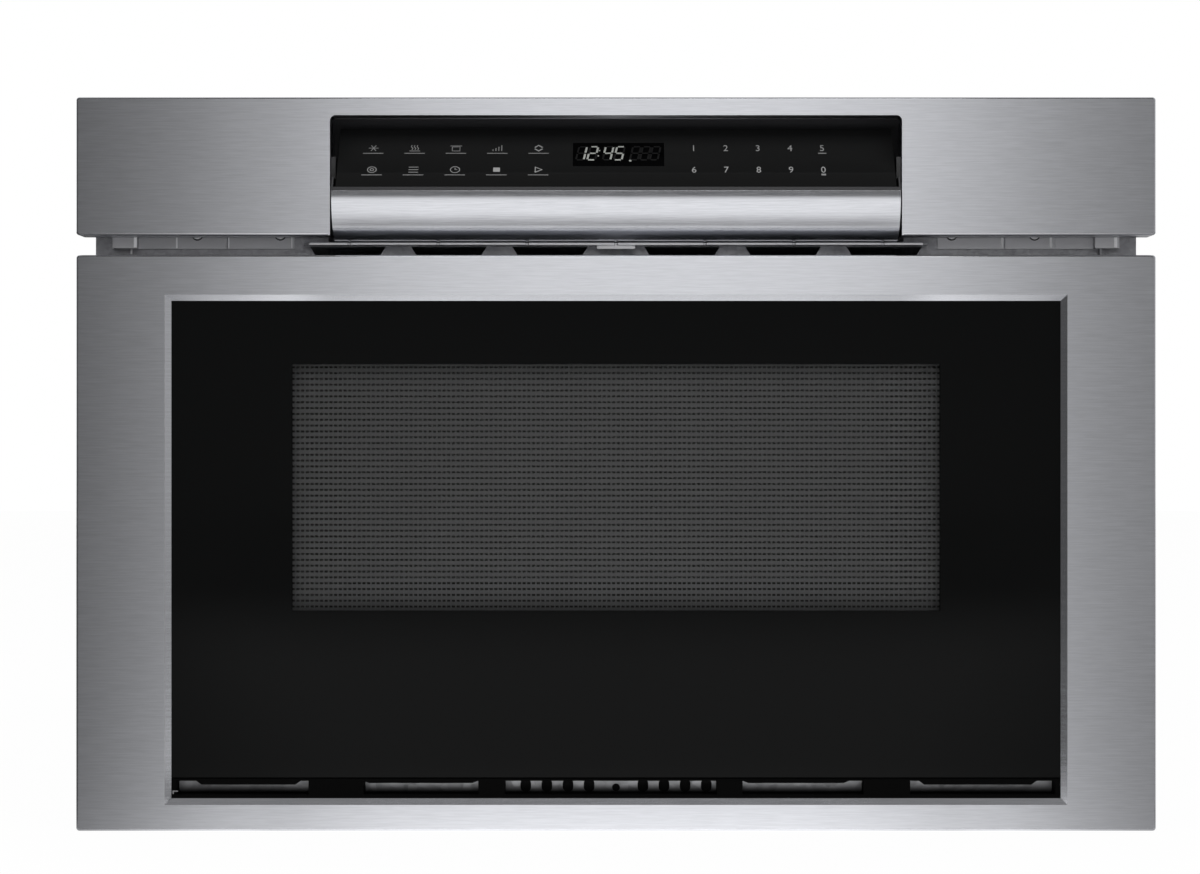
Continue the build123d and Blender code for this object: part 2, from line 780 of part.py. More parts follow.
rack_left = arm_in - rack_face
pinion_left = arm_in - pinion_side_gap - pinion_face
with BuildPart() as drive_pinion:
    with BuildSketch(upright(pinion_left)):
        with Locations((pinion_y, pinion_z)):
            Circle(root_radius)
            with PolarLocations(0, pinion_teeth):
                add(pinion_tooth.sketch)
    extrude(amount=pinion_face)
    # hub and shaft, towards the gear motor
    for radius, reach in ((pinion_hub_radius, pinion_hub_length),
                          (pinion_shaft_radius, pinion_shaft_length)):
        with BuildSketch(upright(pinion_left)):
            with Locations((pinion_y, pinion_z)):
                Circle(radius)
        extrude(amount=-reach)
drive_pinion.part.label = "drive_pinion"
export_step(drive_pinion.part, "parts/drive_pinion.step")

rack_front = pinion_y - rack_front_run
rack_back = pinion_y + travel + rack_spare
tooth_half_pitch = rack_step / 4 - backlash / 4
tip_half = tooth_half_pitch - addendum * tan(half_pressure)
root_half = tooth_half_pitch + dedendum * tan(half_pressure)
with BuildPart() as drive_rack:
    with BuildSketch(upright(rack_left)):
        outline(rack_front, rack_back, rack_pitch_z + dedendum, rack_pitch_z + dedendum + rack_body)
        # teeth stand half a step away from the pinion's middle on both sides
        first = int(rack_front_run / rack_step)
        last = int((travel + rack_spare) / rack_step)
        for number in range(-first, last):
            middle = pinion_y + (number + 0.5) * rack_step
            with BuildLine() as rack_tooth:
                Polyline((middle - root_half, rack_pitch_z + dedendum),
                         (middle - tip_half, rack_pitch_z - addendum),
                         (middle + tip_half, rack_pitch_z - addendum),
                         (middle + root_half, rack_pitch_z + dedendum), close=True)
            make_face(rack_tooth.edges())
    extrude(amount=rack_face)
drive_rack.part.label = "drive_rack"
export_step(drive_rack.part, "parts/drive_rack.step")

# gear motor and the plate that carries it, on the base
plate_right = pinion_left - pinion_hub_length - pinion_side_gap
plate_left = plate_right - motor_plate
with BuildPart() as motor_bracket:
    with BuildSketch(upright(plate_left)):
        outline(pinion_y - gearbox_width / 2, pinion_y + gearbox_width / 2, base_sheet,
                pinion_z + gearbox_height / 2)
        with Locations((pinion_y, pinion_z)):
            Circle(pinion_shaft_radius + shaft_clearance, mode=Mode.SUBTRACT)
    extrude(amount=motor_plate)
    fillet(motor_bracket.edges().filter_by(Axis.X).group_by(Axis.Z)[-1], motor_plate_corner)
    block(plate_left - bracket_foot, plate_left, pinion_y - gearbox_width / 2,
          pinion_y + gearbox_width / 2, base_sheet, base_sheet + motor_plate)
motor_bracket.part.label = "motor_bracket"
export_step(motor_bracket.part, "parts/motor_bracket.step")

with BuildPart() as drive_motor:
    with BuildSketch(upright(plate_left)):
        with Locations((pinion_y, pinion_z)):
            RectangleRounded(gearbox_width - gearbox_inset, gearbox_height - gearbox_inset,
                             gearbox_corner)
    extrude(amount=-gearbox_length)
    chamfer(drive_motor.faces().sort_by(Axis.X)[0].edges(), gearbox_bevel)
    with BuildSketch(upright(plate_left - gearbox_length)):
        with Locations((pinion_y, pinion_z)):
            Circle(motor_radius)
    extrude(amount=-motor_length)
    fillet(drive_motor.faces().sort_by(Axis.X)[0].edges(), can_round)
    with BuildSketch(upright(plate_left)):
        with Locations((pinion_y, pinion_z)):
            Circle(pinion_shaft_radius + running_gap)
    extrude(amount=-pinion_shaft_length, mode=Mode.SUBTRACT)
drive_motor.part.label = "drive_motor"
export_step(drive_motor.part, "parts/drive_motor.step")

# ================================================================ chassis sheets
cavity_back = flange_back + cavity_depth
with BuildPart() as base_plate:
    with BuildSketch(Plane.XY):
        outline(-case_half + case_sheet + seat_gap, case_half - case_sheet - seat_gap, flange_back,
                rear_inner)
        # air inlets under the rear
        with Locations((0, rear_inner - base_inlet_margin)):
            with GridLocations(base_slot_spacing, air_slot_step, *base_slots):
                Rectangle(base_slot_length, air_slot, mode=Mode.SUBTRACT)
    extrude(amount=base_sheet)
    # turned-up sides inside the outer case
    for side in (-1, 1):
        edge = side * (case_half - case_sheet - seat_gap - base_sheet / 2)
        with BuildSketch(Plane.XY.offset(base_sheet)):
            outline(edge - base_sheet / 2, edge + base_sheet / 2, flange_back, rear_inner)
        extrude(amount=base_wall)
base_plate.part.label = "base_plate"
export_step(base_plate.part, "parts/base_plate.step")

with BuildPart() as outer_case:
    with BuildSketch(facing(flange_back)):
        outline(-case_half, case_half, 0, case_height)
        outline(-case_half + case_sheet, case_half - case_sheet, -1, case_height - case_sheet,
                mode=Mode.SUBTRACT)
    extrude(amount=flange_back - rear_inner)
    # louvres at the rear of both sides
    with BuildSketch(upright(-case_half - 1)):
        with Locations((rear_inner - louvre_from_rear, louvre_height)):
            with GridLocations(louvre_spacing, louvre_step, *louvres):
                Rectangle(louvre_length, air_slot)
    extrude(amount=case_width + 2, mode=Mode.SUBTRACT)
outer_case.part.label = "outer_case"
export_step(outer_case.part, "parts/outer_case.step")

with BuildPart() as rear_cover:
    with BuildSketch(facing(rear_inner)):
        outline(-case_half, case_half, 0, case_height)
        with Locations((fan_x, fan_z)):
            with HexLocations(grille_hole + grille_web, grille_count, grille_count):
                RegularPolygon(grille_hole, 6, major_radius=False, mode=Mode.SUBTRACT)
        with Locations((gland_x, gland_z)):
            Circle(gland_radius + seat_gap, mode=Mode.SUBTRACT)
        with Locations((-fan_x, fan_z)):
            with GridLocations(rear_slot_spacing, air_slot_step, *rear_slots):
                Rectangle(rear_slot_length, air_slot, mode=Mode.SUBTRACT)
    extrude(amount=-base_sheet)
rear_cover.part.label = "rear_cover"
export_step(rear_cover.part, "parts/rear_cover.step")

pocket_low = fascia_low - pocket_drop
pocket_in = head_half + panel_sheet + seat_gap
pocket_out = pocket_in + pocket_wall
pocket_top = fascia_low + head_rise + panel_sheet + seat_gap + pocket_wall
lip_y = front_y + lip_centre[0]
lip_z = fascia_low + lip_centre[1]
vent_lip_top = lip_z - lip_radius - seat_gap
vent_high = vent_lip_top - vent_lip_sheet - seat_gap
with BuildPart() as front_flange:
    with BuildSketch(facing(flange_front)):
        outline(-flange_width / 2, flange_width / 2, 0, flange_top)
        outline(-mouth_half, mouth_half, mouth_low, mouth_high, mode=Mode.SUBTRACT)
        # the control pocket passes through the header
        outline(-pocket_out - seat_gap, pocket_out + seat_gap, pocket_low - seat_gap,
                pocket_top + seat_gap, mode=Mode.SUBTRACT)
        # arms, rack and slides run out through these
        for side in (-1, 1):
            port = sorted((side * port_in, side * port_out))
            outline(port[0], port[1], port_low, port_high, mode=Mode.SUBTRACT)
            latch = sorted((side * (latch_x - latch_clear), side * (latch_x + latch_clear)))
            outline(latch[0], latch[1], latch_z - latch_clear, latch_z + latch_clear,
                    mode=Mode.SUBTRACT)
            for z in (mount_hole_low, mount_hole_low + mount_hole_pitch):
                with Locations((side * mount_hole_x, z)):
                    Circle(mount_hole_radius, mode=Mode.SUBTRACT)
            # air outlets over the door, each with slanted ends
            for step in range(vents):
                middle = side * (vent_first + step * vent_pitch)
                with BuildLine() as vent:
                    Polyline((middle - vent_width / 2, vent_high),
                             (middle + vent_width / 2, vent_high),
                             (middle + vent_width / 2 - vent_slant, vent_high - vent_height),
                             (middle - vent_width / 2 + vent_slant, vent_high - vent_height),
                             close=True)
                make_face(vent.edges(), mode=Mode.SUBTRACT)
    extrude(amount=-flange_sheet)
front_flange.part.label = "front_flange"
export_step(front_flange.part, "parts/front_flange.step")

# ================================================================ fascia and control head
with BuildPart() as fascia:
    with BuildSketch(facing(front_y)):
        with Locations((0, (fascia_low + fascia_high) / 2)):
            RectangleRounded(front_width, fascia_height, panel_corner)
    extrude(amount=-fascia_return)
    fillet(fascia.faces().sort_by(Axis.Y)[0].edges(), panel_edge)
    offset(amount=-panel_sheet, openings=fascia.faces().sort_by(Axis.Y)[-1])
    # cut-out for the control head, open at the bottom, with folded sides
    for lap, mode in ((panel_sheet, Mode.ADD), (0, Mode.SUBTRACT)):
        with BuildSketch(facing(front_y)):
            with Locations((0, fascia_low + (head_rise + lap) / 2)):
                Rectangle(2 * (head_half + lap), head_rise + lap)
        extrude(amount=-fascia_return, mode=mode)
        if mode == Mode.ADD:
            fillet(fascia.edges().filter_by(Axis.Y).filter_by_position(
                Axis.Z, fascia_low + head_rise, fascia_low + head_rise + 2), head_corner)
fascia.part.label = "fascia"
export_step(fascia.part, "parts/fascia.step")

pocket_front = front_y + panel_sheet
pocket_back = pocket_front + pocket_depth
notch_back = front_y + fascia_return + seat_gap
with BuildPart() as head_pocket:
    block(-pocket_out, pocket_out, pocket_front, pocket_back, pocket_low, pocket_top)
    fillet(head_pocket.edges().filter_by(Axis.Y).group_by(Axis.Z)[-1], head_corner + pocket_wall)
    block(-pocket_in, pocket_in, pocket_front, pocket_back - pocket_wall, pocket_low + pocket_wall,
          pocket_top - pocket_wall, mode=Mode.SUBTRACT)
    # the front of the floor stays open for the rolled lip and the fascia's lower fold
    block(-pocket_out, pocket_out, pocket_front, notch_back, pocket_low,
          fascia_low + panel_sheet + seat_gap, mode=Mode.SUBTRACT)
head_pocket.part.label = "head_pocket"
export_step(head_pocket.part, "parts/head_pocket.step")

foot_y, foot_z = front_y + control_foot[0], fascia_low + control_foot[1]
head_y, head_z = front_y + control_head[0], fascia_low + control_head[1]
slope_length = sqrt((head_y - foot_y) ** 2 + (head_z - foot_z) ** 2)
slope_y, slope_z = (head_y - foot_y) / slope_length, (head_z - foot_z) / slope_length


def behind_glass(along, depth):
    """Y and Z of a point some way up the control glass and some way behind its face."""
    return (foot_y + along * slope_y + depth * slope_z, foot_z + along * slope_z - depth * slope_y)


def tilted_plate(along_low, along_high, depth_near, depth_far, x_low, x_high):
    """A plate parallel to the control glass."""
    with BuildPart() as plate:
        with BuildSketch(upright(x_low)):
            with BuildLine() as section:
                Polyline(behind_glass(along_low, depth_near), behind_glass(along_high, depth_near),
                         behind_glass(along_high, depth_far), behind_glass(along_low, depth_far),
                         close=True)
            make_face(section.edges())
        extrude(amount=x_high - x_low)
    return plate


control_glass = tilted_plate(0, slope_length, 0, control_thickness, -control_half, control_half)
with BuildPart() as rounded_glass:
    add(control_glass.part)
    fillet(rounded_glass.faces().sort_by(Axis.Z)[-1].edges().filter_by(Axis.X), glass_edge)
rounded_glass.part.label = "control_glass"
export_step(rounded_glass.part, "parts/control_glass.step")

display_low = (slope_length - display_height) / 2
display_module = tilted_plate(display_low, display_low + display_height, control_thickness,
                              control_thickness + display_depth, display_x - display_width / 2,
                              display_x + display_width / 2)
display_module.part.label = "display_module"
export_step(display_module.part, "parts/display_module.step")

board_low = (slope_length - board_length) / 2
board_depth = control_thickness + display_depth
with BuildPart() as control_board:
    add(tilted_plate(board_low, board_low + board_length, board_depth, board_depth + board_sheet,
                     -board_half, board_half).part)
    for x, length, rise in board_parts:
        add(tilted_plate(board_low + board_part_margin,
                         board_low + board_part_margin + board_part_length,
                         board_depth + board_sheet, board_depth + board_sheet + rise,
                         x, x + length).part)
control_board.part.label = "control_board"
export_step(control_board.part, "parts/control_board.step")

# rolled lip under the glass: a quarter round of sheet with a flat tail and two end ears, each with a
# flange beside the glass
tail_y = flange_front - seat_gap
lip_front = lip_y - lip_radius
with BuildPart() as control_lip:
    with BuildSketch(upright(-lip_half)):
        with BuildLine() as lip_section:
            inner = lip_radius - lip_sheet
            CenterArc((lip_y, lip_z), lip_radius, 180, 90)
            Polyline((lip_y, lip_z - lip_radius), (tail_y, lip_z - lip_radius),
                     (tail_y, lip_z - inner), (lip_y, lip_z - inner))
            CenterArc((lip_y, lip_z), inner, 180, 90)
            Polyline((lip_y - inner, lip_z), (lip_y - inner, lip_z + lip_rise),
                     (lip_front, lip_z + lip_rise), (lip_front, lip_z))
        make_face(lip_section.edges())
    extrude(amount=2 * lip_half)
    ear_y = lip_front + ear_flange_y
    ear_low = lip_z + ear_flange_low
    ear_high = ear_low + ear_flange_height
    for side in (-1, 1):
        ear_in = min(side * (lip_half - lip_sheet), side * lip_half)
        with BuildSketch(upright(ear_in)):
            with BuildLine() as ear:
                CenterArc((lip_y, lip_z), lip_radius, 180, 90)
                Polyline((lip_y, lip_z - lip_radius), (lip_y, lip_z + ear_rise),
                         (lip_front + ear_lean, lip_z + ear_rise),
                         (lip_front, lip_z + ear_front_rise), (lip_front, lip_z))
            make_face(ear.edges())
            outline(ear_y, lip_y, lip_z, ear_high)
        extrude(amount=lip_sheet)
        low, high = sorted((side * (lip_half - lip_sheet),
                            side * (lip_half - lip_sheet + ear_flange_width)))
        block(low, high, ear_y, ear_y + lip_sheet, ear_low, ear_high)
control_lip.part.label = "control_lip"
export_step(control_lip.part, "parts/control_lip.step")

with BuildPart() as vent_lip:
    vent_lip_front = flange_front - vent_lip_depth
    with BuildSketch(Plane.XY.offset(vent_lip_top - vent_lip_sheet)):
        outline(-vent_lip_half, vent_lip_half, vent_lip_front, flange_front)
        with Locations((0, vent_lip_front)):
            with GridLocations(vent_notch_pitch, 1, vent_notches, 1):
                Rectangle(vent_notch, 2 * vent_notch, mode=Mode.SUBTRACT)
    extrude(amount=vent_lip_sheet)
    chamfer(vent_lip.edges().filter_by(Axis.Z).filter_by_position(
        Axis.X, -vent_lip_half, -vent_lip_half).sort_by(Axis.Y)[0], vent_lip_corner)
    chamfer(vent_lip.edges().filter_by(Axis.Z).filter_by_position(
        Axis.X, vent_lip_half, vent_lip_half).sort_by(Axis.Y)[0], vent_lip_corner)
    # a small tab hangs from the middle of the front edge
    block(-vent_tab_half, vent_tab_half, vent_lip_front + vent_notch,
          vent_lip_front + vent_notch + vent_lip_sheet, vent_lip_top - vent_lip_sheet - vent_tab_drop,
          vent_lip_top - vent_lip_sheet)
vent_lip.part.label = "vent_lip"
export_step(vent_lip.part, "parts/vent_lip.step")

bracket_low = fascia_low - bracket_drop
bracket_shelf = fascia_low + bracket_shelf_rise
bracket_face = flange_front - panel_sheet
with BuildPart() as fascia_bracket_right:
    shelf_top = fascia_high - panel_sheet - seat_gap
    with BuildSketch(upright(bracket_in)):
        outline(bracket_face, flange_front, bracket_low, shelf_top)
        outline(pocket_front, flange_front, bracket_shelf, bracket_shelf + panel_sheet)
        outline(pocket_front, flange_front, shelf_top - panel_sheet, shelf_top)
    extrude(amount=bracket_out - bracket_in)
    # the skirt under the shelf: a slot, a step towards the front and an open clip at the end
    block(bracket_slot_x, bracket_slot_x + bracket_slot, bracket_face, flange_front, bracket_low,
          bracket_shelf, mode=Mode.SUBTRACT)
    block(bracket_step_x, bracket_out, bracket_face - bracket_step, bracket_face, bracket_low,
          bracket_shelf)
    clip_top = fascia_low - seat_gap
    block(clip_x, bracket_out, bracket_face - clip_depth, bracket_face, bracket_low, clip_top)
    block(clip_x + panel_sheet, bracket_out - panel_sheet, bracket_face - clip_depth + panel_sheet,
          bracket_face - bracket_step, bracket_low, clip_top, mode=Mode.SUBTRACT)
    # locating pin, down through the clip
    with BuildSketch(Plane.XY.offset(bracket_low - pin_drop)):
        with Locations((pin_x, bracket_face - pin_radius)):
            Circle(pin_radius)
    extrude(amount=bracket_shelf - bracket_low + pin_drop)
with BuildPart() as fascia_bracket_left:
    mirror(fascia_bracket_right.part, about=Plane.YZ)
for bracket, side_name in ((fascia_bracket_left, "left"), (fascia_bracket_right, "right")):
    bracket.part.label = f"fascia_bracket_{side_name}"
    export_step(bracket.part, f"parts/fascia_bracket_{side_name}.step")


def screw_heads(y, outward, places, head_radius, head_height):
    """Pan heads that stand on a plane at depth y, one at each place, with a small bevel."""
    seat = Plane(origin=(0, y, 0), x_dir=(1, 0, 0), z_dir=(0, outward, 0))
    with BuildPart() as screws:
        with BuildSketch(seat):
            with Locations(*[(x, -outward * z) for x, z in places]):
                Circle(head_radius)
        extrude(amount=head_height)
        rims = screws.faces().filter_by(Axis.Y).group_by(Axis.Y)[0 if outward < 0 else -1].edges()
        chamfer(rims, head_height / 3)
    return screws


fascia_screws = screw_heads(bracket_face, -1,
                            [(side * x, fascia_low + fascia_screw_rise)
                             for side in (-1, 1) for x in fascia_screw_x],
                            screw_radius, screw_height)
fascia_screws.part.label = "fascia_screws"
export_step(fascia_screws.part, "parts/fascia_screws.step")

# ================================================================ cavity and microwave feed
cavity_half = mouth_half + cavity_sheet
cavity_low = mouth_low - cavity_sheet
cavity_high = mouth_high + cavity_sheet


def rear_rounded(half, y_low, y_high, z_low, z_high, corner):
    """A box whose two upright rear corners are rounded."""
    with BuildPart() as box:
        with BuildSketch(Plane.XY.offset(z_low)):
            outline(-half, half, y_low, y_high)
        extrude(amount=z_high - z_low)
        fillet(box.edges().filter_by(Axis.Z).group_by(Axis.Y)[-1], corner)
    return box


with BuildPart() as oven_cavity:
    add(rear_rounded(cavity_half, flange_back, cavity_back, cavity_low, cavity_high,
                     cavity_corner).part)
    add(rear_rounded(mouth_half, flange_back - 1, cavity_back - cavity_sheet, mouth_low,
                     mouth_high, cavity_corner - cavity_sheet).part, mode=Mode.SUBTRACT)
    with BuildSketch(Plane.XY.offset(mouth_high)):
        with Locations((0, chamber_y)):
            Circle(ceiling_hole)
    extrude(amount=cavity_sheet, mode=Mode.SUBTRACT)
oven_cavity.part.label = "oven_cavity"
export_step(oven_cavity.part, "parts/oven_cavity.step")

with BuildPart() as stirrer_cover:
    with BuildSketch(Plane.XY.offset(mouth_high)):
        with Locations((0, chamber_y)):
            Circle(ceiling_hole + stirrer_cover_lap)
    extrude(amount=-stirrer_cover_sheet)
    fillet(stirrer_cover.faces().sort_by(Axis.Z)[0].edges(), glass_edge)
stirrer_cover.part.label = "stirrer_cover"
export_step(stirrer_cover.part, "parts/stirrer_cover.step")

guide_top = cavity_high + guide_height
with BuildPart() as waveguide:
    for inset, floor, ceiling, mode in ((0, cavity_high, guide_top, Mode.ADD),
                                        (guide_sheet, cavity_high, guide_top - guide_sheet,
                                         Mode.SUBTRACT)):
        with BuildSketch(Plane.XY.offset(floor)):
            with Locations((0, chamber_y)):
                Circle(chamber_radius - inset)
            outline(-guide_width / 2 + inset, guide_width / 2 - inset, chamber_y,
                    guide_back - inset)
        extrude(amount=ceiling - floor, mode=mode)
    # floor of the guide behind the cavity, with the hole for the antenna
    with BuildSketch(Plane.XY.offset(cavity_high)):
        outline(-guide_width / 2, guide_width / 2, cavity_back, guide_back)
        with Locations((0, magnetron_y)):
            Circle(antenna_hole, mode=Mode.SUBTRACT)
    extrude(amount=guide_sheet)
    with BuildSketch(Plane.XY.offset(guide_top)):
        with Locations((0, chamber_y)):
            Circle(stirrer_shaft_radius + shaft_clearance)
    extrude(amount=-guide_sheet, mode=Mode.SUBTRACT)
waveguide.part.label = "waveguide"
export_step(waveguide.part, "parts/waveguide.step")

with BuildPart() as stirrer_fan:
    with BuildSketch(Plane.XY.offset(cavity_high + stirrer_foot)):
        with Locations((0, chamber_y)):
            Circle(stirrer_shaft_radius)
    extrude(amount=guide_top + stirrer_shaft_up - cavity_high - stirrer_foot)
    stirrer_level = cavity_high + guide_height / 2
    with BuildSketch(Plane.XY.offset(stirrer_level - stirrer_hub_length / 2)):
        with Locations((0, chamber_y)):
            Circle(stirrer_hub_radius)
    extrude(amount=stirrer_hub_length)
    with Locations((0, chamber_y, stirrer_level)):
        with PolarLocations(stirrer_radius - stirrer_blade[0] / 2, stirrer_blades):
            Box(*stirrer_blade, rotation=(stirrer_pitch, 0, 0))
stirrer_fan.part.label = "stirrer_fan"
export_step(stirrer_fan.part, "parts/stirrer_fan.step")

with BuildPart() as stirrer_motor:
    with BuildSketch(Plane.XY.offset(guide_top)):
        with Locations((0, chamber_y)):
            Circle(stirrer_motor_radius)
            SlotOverall(*stirrer_motor_ears)
    extrude(amount=stirrer_motor_plate)
    with BuildSketch(Plane.XY.offset(guide_top + stirrer_motor_plate)):
        with Locations((0, chamber_y)):
            Circle(stirrer_motor_radius)
    extrude(amount=stirrer_motor_height)
    chamfer(stirrer_motor.faces().sort_by(Axis.Z)[-1].edges(), can_round / 2)
    with BuildSketch(Plane.XY.offset(guide_top)):
        with Locations((0, chamber_y)):
            Circle(stirrer_shaft_radius + running_gap)
    extrude(amount=stirrer_shaft_up + 1, mode=Mode.SUBTRACT)
stirrer_motor.part.label = "stirrer_motor"
export_step(stirrer_motor.part, "parts/stirrer_motor.step")

yoke_low = cavity_high - magnetron_height
with BuildPart() as magnetron:
    with BuildSketch(upright(-magnetron_width / 2)):
        outline(magnetron_y - magnetron_depth / 2, magnetron_y + magnetron_depth / 2, yoke_low,
                cavity_high)
    extrude(amount=magnetron_width)
    block(-magnetron_width / 2 + yoke_sheet, magnetron_width / 2 - yoke_sheet,
          magnetron_y - magnetron_depth / 2, magnetron_y + magnetron_depth / 2,
          yoke_low + yoke_sheet, cavity_high - yoke_sheet, mode=Mode.SUBTRACT)
    with BuildSketch(Plane.XY.offset(yoke_low)):
        with Locations((0, magnetron_y)):
            Circle(anode_radius)
    extrude(amount=magnetron_height)
    for level in (yoke_low + yoke_sheet, cavity_high - yoke_sheet - magnet_height):
        with BuildSketch(Plane.XY.offset(level)):
            with Locations((0, magnetron_y)):
                Circle(magnet_radius)
        extrude(amount=magnet_height)
    # cooling fins on the anode
    for number in range(fin_count):
        with BuildSketch(Plane.XY.offset(yoke_low + fin_first + number * fin_pitch)):
            with Locations((0, magnetron_y)):
                Rectangle(magnetron_width - 2 * fin_inset, magnetron_depth - 2 * fin_inset)
        extrude(amount=fin_sheet)
    with BuildSketch(Plane.XY.offset(cavity_high)):
        with Locations((0, magnetron_y)):
            Circle(antenna_radius)
    extrude(amount=antenna_length)
    fillet(magnetron.faces().sort_by(Axis.Z)[-1].edges(), antenna_radius / 2)
    # filter box
    with BuildSketch(Plane.XY.offset(yoke_low)):
        with Locations((0, magnetron_y)):
            Rectangle(filter_box[0], filter_box[1])
    extrude(amount=-filter_box[2])
magnetron.part.label = "magnetron"
export_step(magnetron.part, "parts/magnetron.step")

# the duct is open to the vents in front and to the case behind
duct_low = vent_high - vent_height - duct_margin
duct_high = vent_high + duct_margin
with BuildPart() as exhaust_duct:
    for inset, mode in ((0, Mode.ADD), (case_sheet, Mode.SUBTRACT)):
        with BuildSketch(Plane.XY.offset(duct_low + inset)):
            with BuildLine() as plan:
                Polyline((-duct_half + inset, flange_back - inset), (duct_half - inset, flange_back - inset),
                         (duct_back_half - inset, flange_back + duct_length + inset),
                         (-duct_back_half + inset, flange_back + duct_length + inset), close=True)
            make_face(plan.edges())
        extrude(amount=duct_high - duct_low - 2 * inset, mode=mode)
exhaust_duct.part.label = "exhaust_duct"
export_step(exhaust_duct.part, "parts/exhaust_duct.step")

# ================================================================ cooling fan
fan_plane = Plane(origin=(fan_x, rear_inner, fan_z), x_dir=(1, 0, 0), z_dir=(0, -1, 0))
ring_inner = fan_radius + shroud_gap
hub_level = shroud_length - strut_depth
with BuildPart() as fan_shroud:
    with BuildSketch(fan_plane):
        RectangleRounded(shroud_plate, shroud_plate, shroud_corner)
        Circle(ring_inner, mode=Mode.SUBTRACT)
    extrude(amount=shroud_wall)
    with BuildSketch(fan_plane):
        Circle(ring_inner + shroud_wall)
        Circle(ring_inner, mode=Mode.SUBTRACT)
    extrude(amount=shroud_length)
    # struts and seat of the motor
    with BuildSketch(fan_plane.offset(hub_level)):
        Circle(motor_seat_radius)
        with PolarLocations((ring_inner + motor_seat_radius) / 2, strut_count,
                            start_angle=90):
            Rectangle(ring_inner - motor_seat_radius + 2 * strut_overlap, strut_width)
        Circle(fan_shaft_radius + shaft_clearance, mode=Mode.SUBTRACT)
    extrude(amount=strut_depth)
fan_shroud.part.label = "fan_shroud"
export_step(fan_shroud.part, "parts/fan_shroud.step")

with BuildPart() as fan_motor:
    with BuildSketch(fan_plane.offset(shroud_length)):
        Circle(motor_seat_radius - shaft_clearance)
    extrude(amount=fan_motor_length)
    fillet(fan_motor.faces().sort_by(Axis.Y)[0].edges(), can_round)
    # laminated stack with its winding below
    with BuildSketch(fan_plane.offset(shroud_length + stack_start)):
        with Locations((0, -stack_drop)):
            RectangleRounded(*stack_size, stack_corner)
    extrude(amount=stack_length)
    with BuildSketch(fan_plane.offset(shroud_length + coil_start)):
        with Locations((0, -coil_drop)):
            RectangleRounded(*coil_size, stack_corner)
    extrude(amount=coil_length)
    with BuildSketch(fan_plane.offset(shroud_length)):
        Circle(fan_shaft_radius + running_gap)
    extrude(amount=fan_motor_length, mode=Mode.SUBTRACT)
fan_motor.part.label = "fan_motor"
export_step(fan_motor.part, "parts/fan_motor.step")

hub_near = hub_level - fan_behind - fan_depth
with BuildPart() as fan_shaft:
    with BuildSketch(fan_plane.offset(hub_near)):
        Circle(fan_shaft_radius)
    extrude(amount=shroud_length + fan_motor_length - hub_near + fan_shaft_end)
    chamfer(fan_shaft.faces().sort_by(Axis.Y)[-1].edges(), shaft_bevel)
fan_shaft.part.label = "fan_shaft"
export_step(fan_shaft.part, "parts/fan_shaft.step")


def fan_section(level, angle):
    """A plane across the fan's shaft whose first axis is turned about the shaft."""
    turn = radians(angle)
    return Plane(origin=(fan_x, rear_inner - level, fan_z), x_dir=(cos(turn), 0, sin(turn)),
                 z_dir=(0, -1, 0))


with BuildPart() as fan_blade:
    with BuildSketch(fan_plane.offset(hub_near)):
        Circle(fan_hub_radius)
    extrude(amount=fan_depth)
    fillet(fan_blade.faces().sort_by(Axis.Y)[-1].edges(), can_round)
    # each blade is a radial strip that turns about the shaft as it goes forward
    for number in range(fan_blades):
        start = 360 * number / fan_blades
        for section in range(blade_sections):
            share = section / (blade_sections - 1)
            level = hub_near + blade_margin + share * (fan_depth - 2 * blade_margin)
            with BuildSketch(fan_section(level, start + share * fan_twist)):
                with Locations(((fan_hub_radius - blade_root + fan_radius) / 2, 0)):
                    Rectangle(fan_radius - fan_hub_radius + blade_root, blade_sheet)
        loft()
    with BuildSketch(fan_plane.offset(hub_near)):
        Circle(fan_shaft_radius + shaft_press)
    extrude(amount=fan_depth, mode=Mode.SUBTRACT)
fan_blade.part.label = "fan_blade"
export_step(fan_blade.part, "parts/fan_blade.step")

# ================================================================ electrical pieces on the base
with BuildPart() as hv_transformer:
    with BuildSketch(facing(transformer_y - core_size[1] / 2)):
        with Locations((transformer_x, base_sheet + core_size[2] / 2)):
            Rectangle(core_size[0], core_size[2])
            with GridLocations(2 * core_window_x, 1, 2, 1):
                Rectangle(*core_window, mode=Mode.SUBTRACT)
    extrude(amount=-core_size[1])
    # windings around the middle leg
    for rise, height, width, depth in windings:
        with BuildSketch(Plane.XY.offset(base_sheet + rise)):
            with Locations((transformer_x, transformer_y)):
                RectangleRounded(width, depth, winding_corner)
        extrude(amount=height)
    # welded feet
    with BuildSketch(Plane.XY.offset(base_sheet)):
        with Locations((transformer_x, transformer_y)):
            Rectangle(foot_plate[0], foot_plate[1])
            with GridLocations(*foot_holes, 2, 2):
                Circle(foot_hole_radius, mode=Mode.SUBTRACT)
    extrude(amount=foot_plate[2])
hv_transformer.part.label = "hv_transformer"
export_step(hv_transformer.part, "parts/hv_transformer.step")

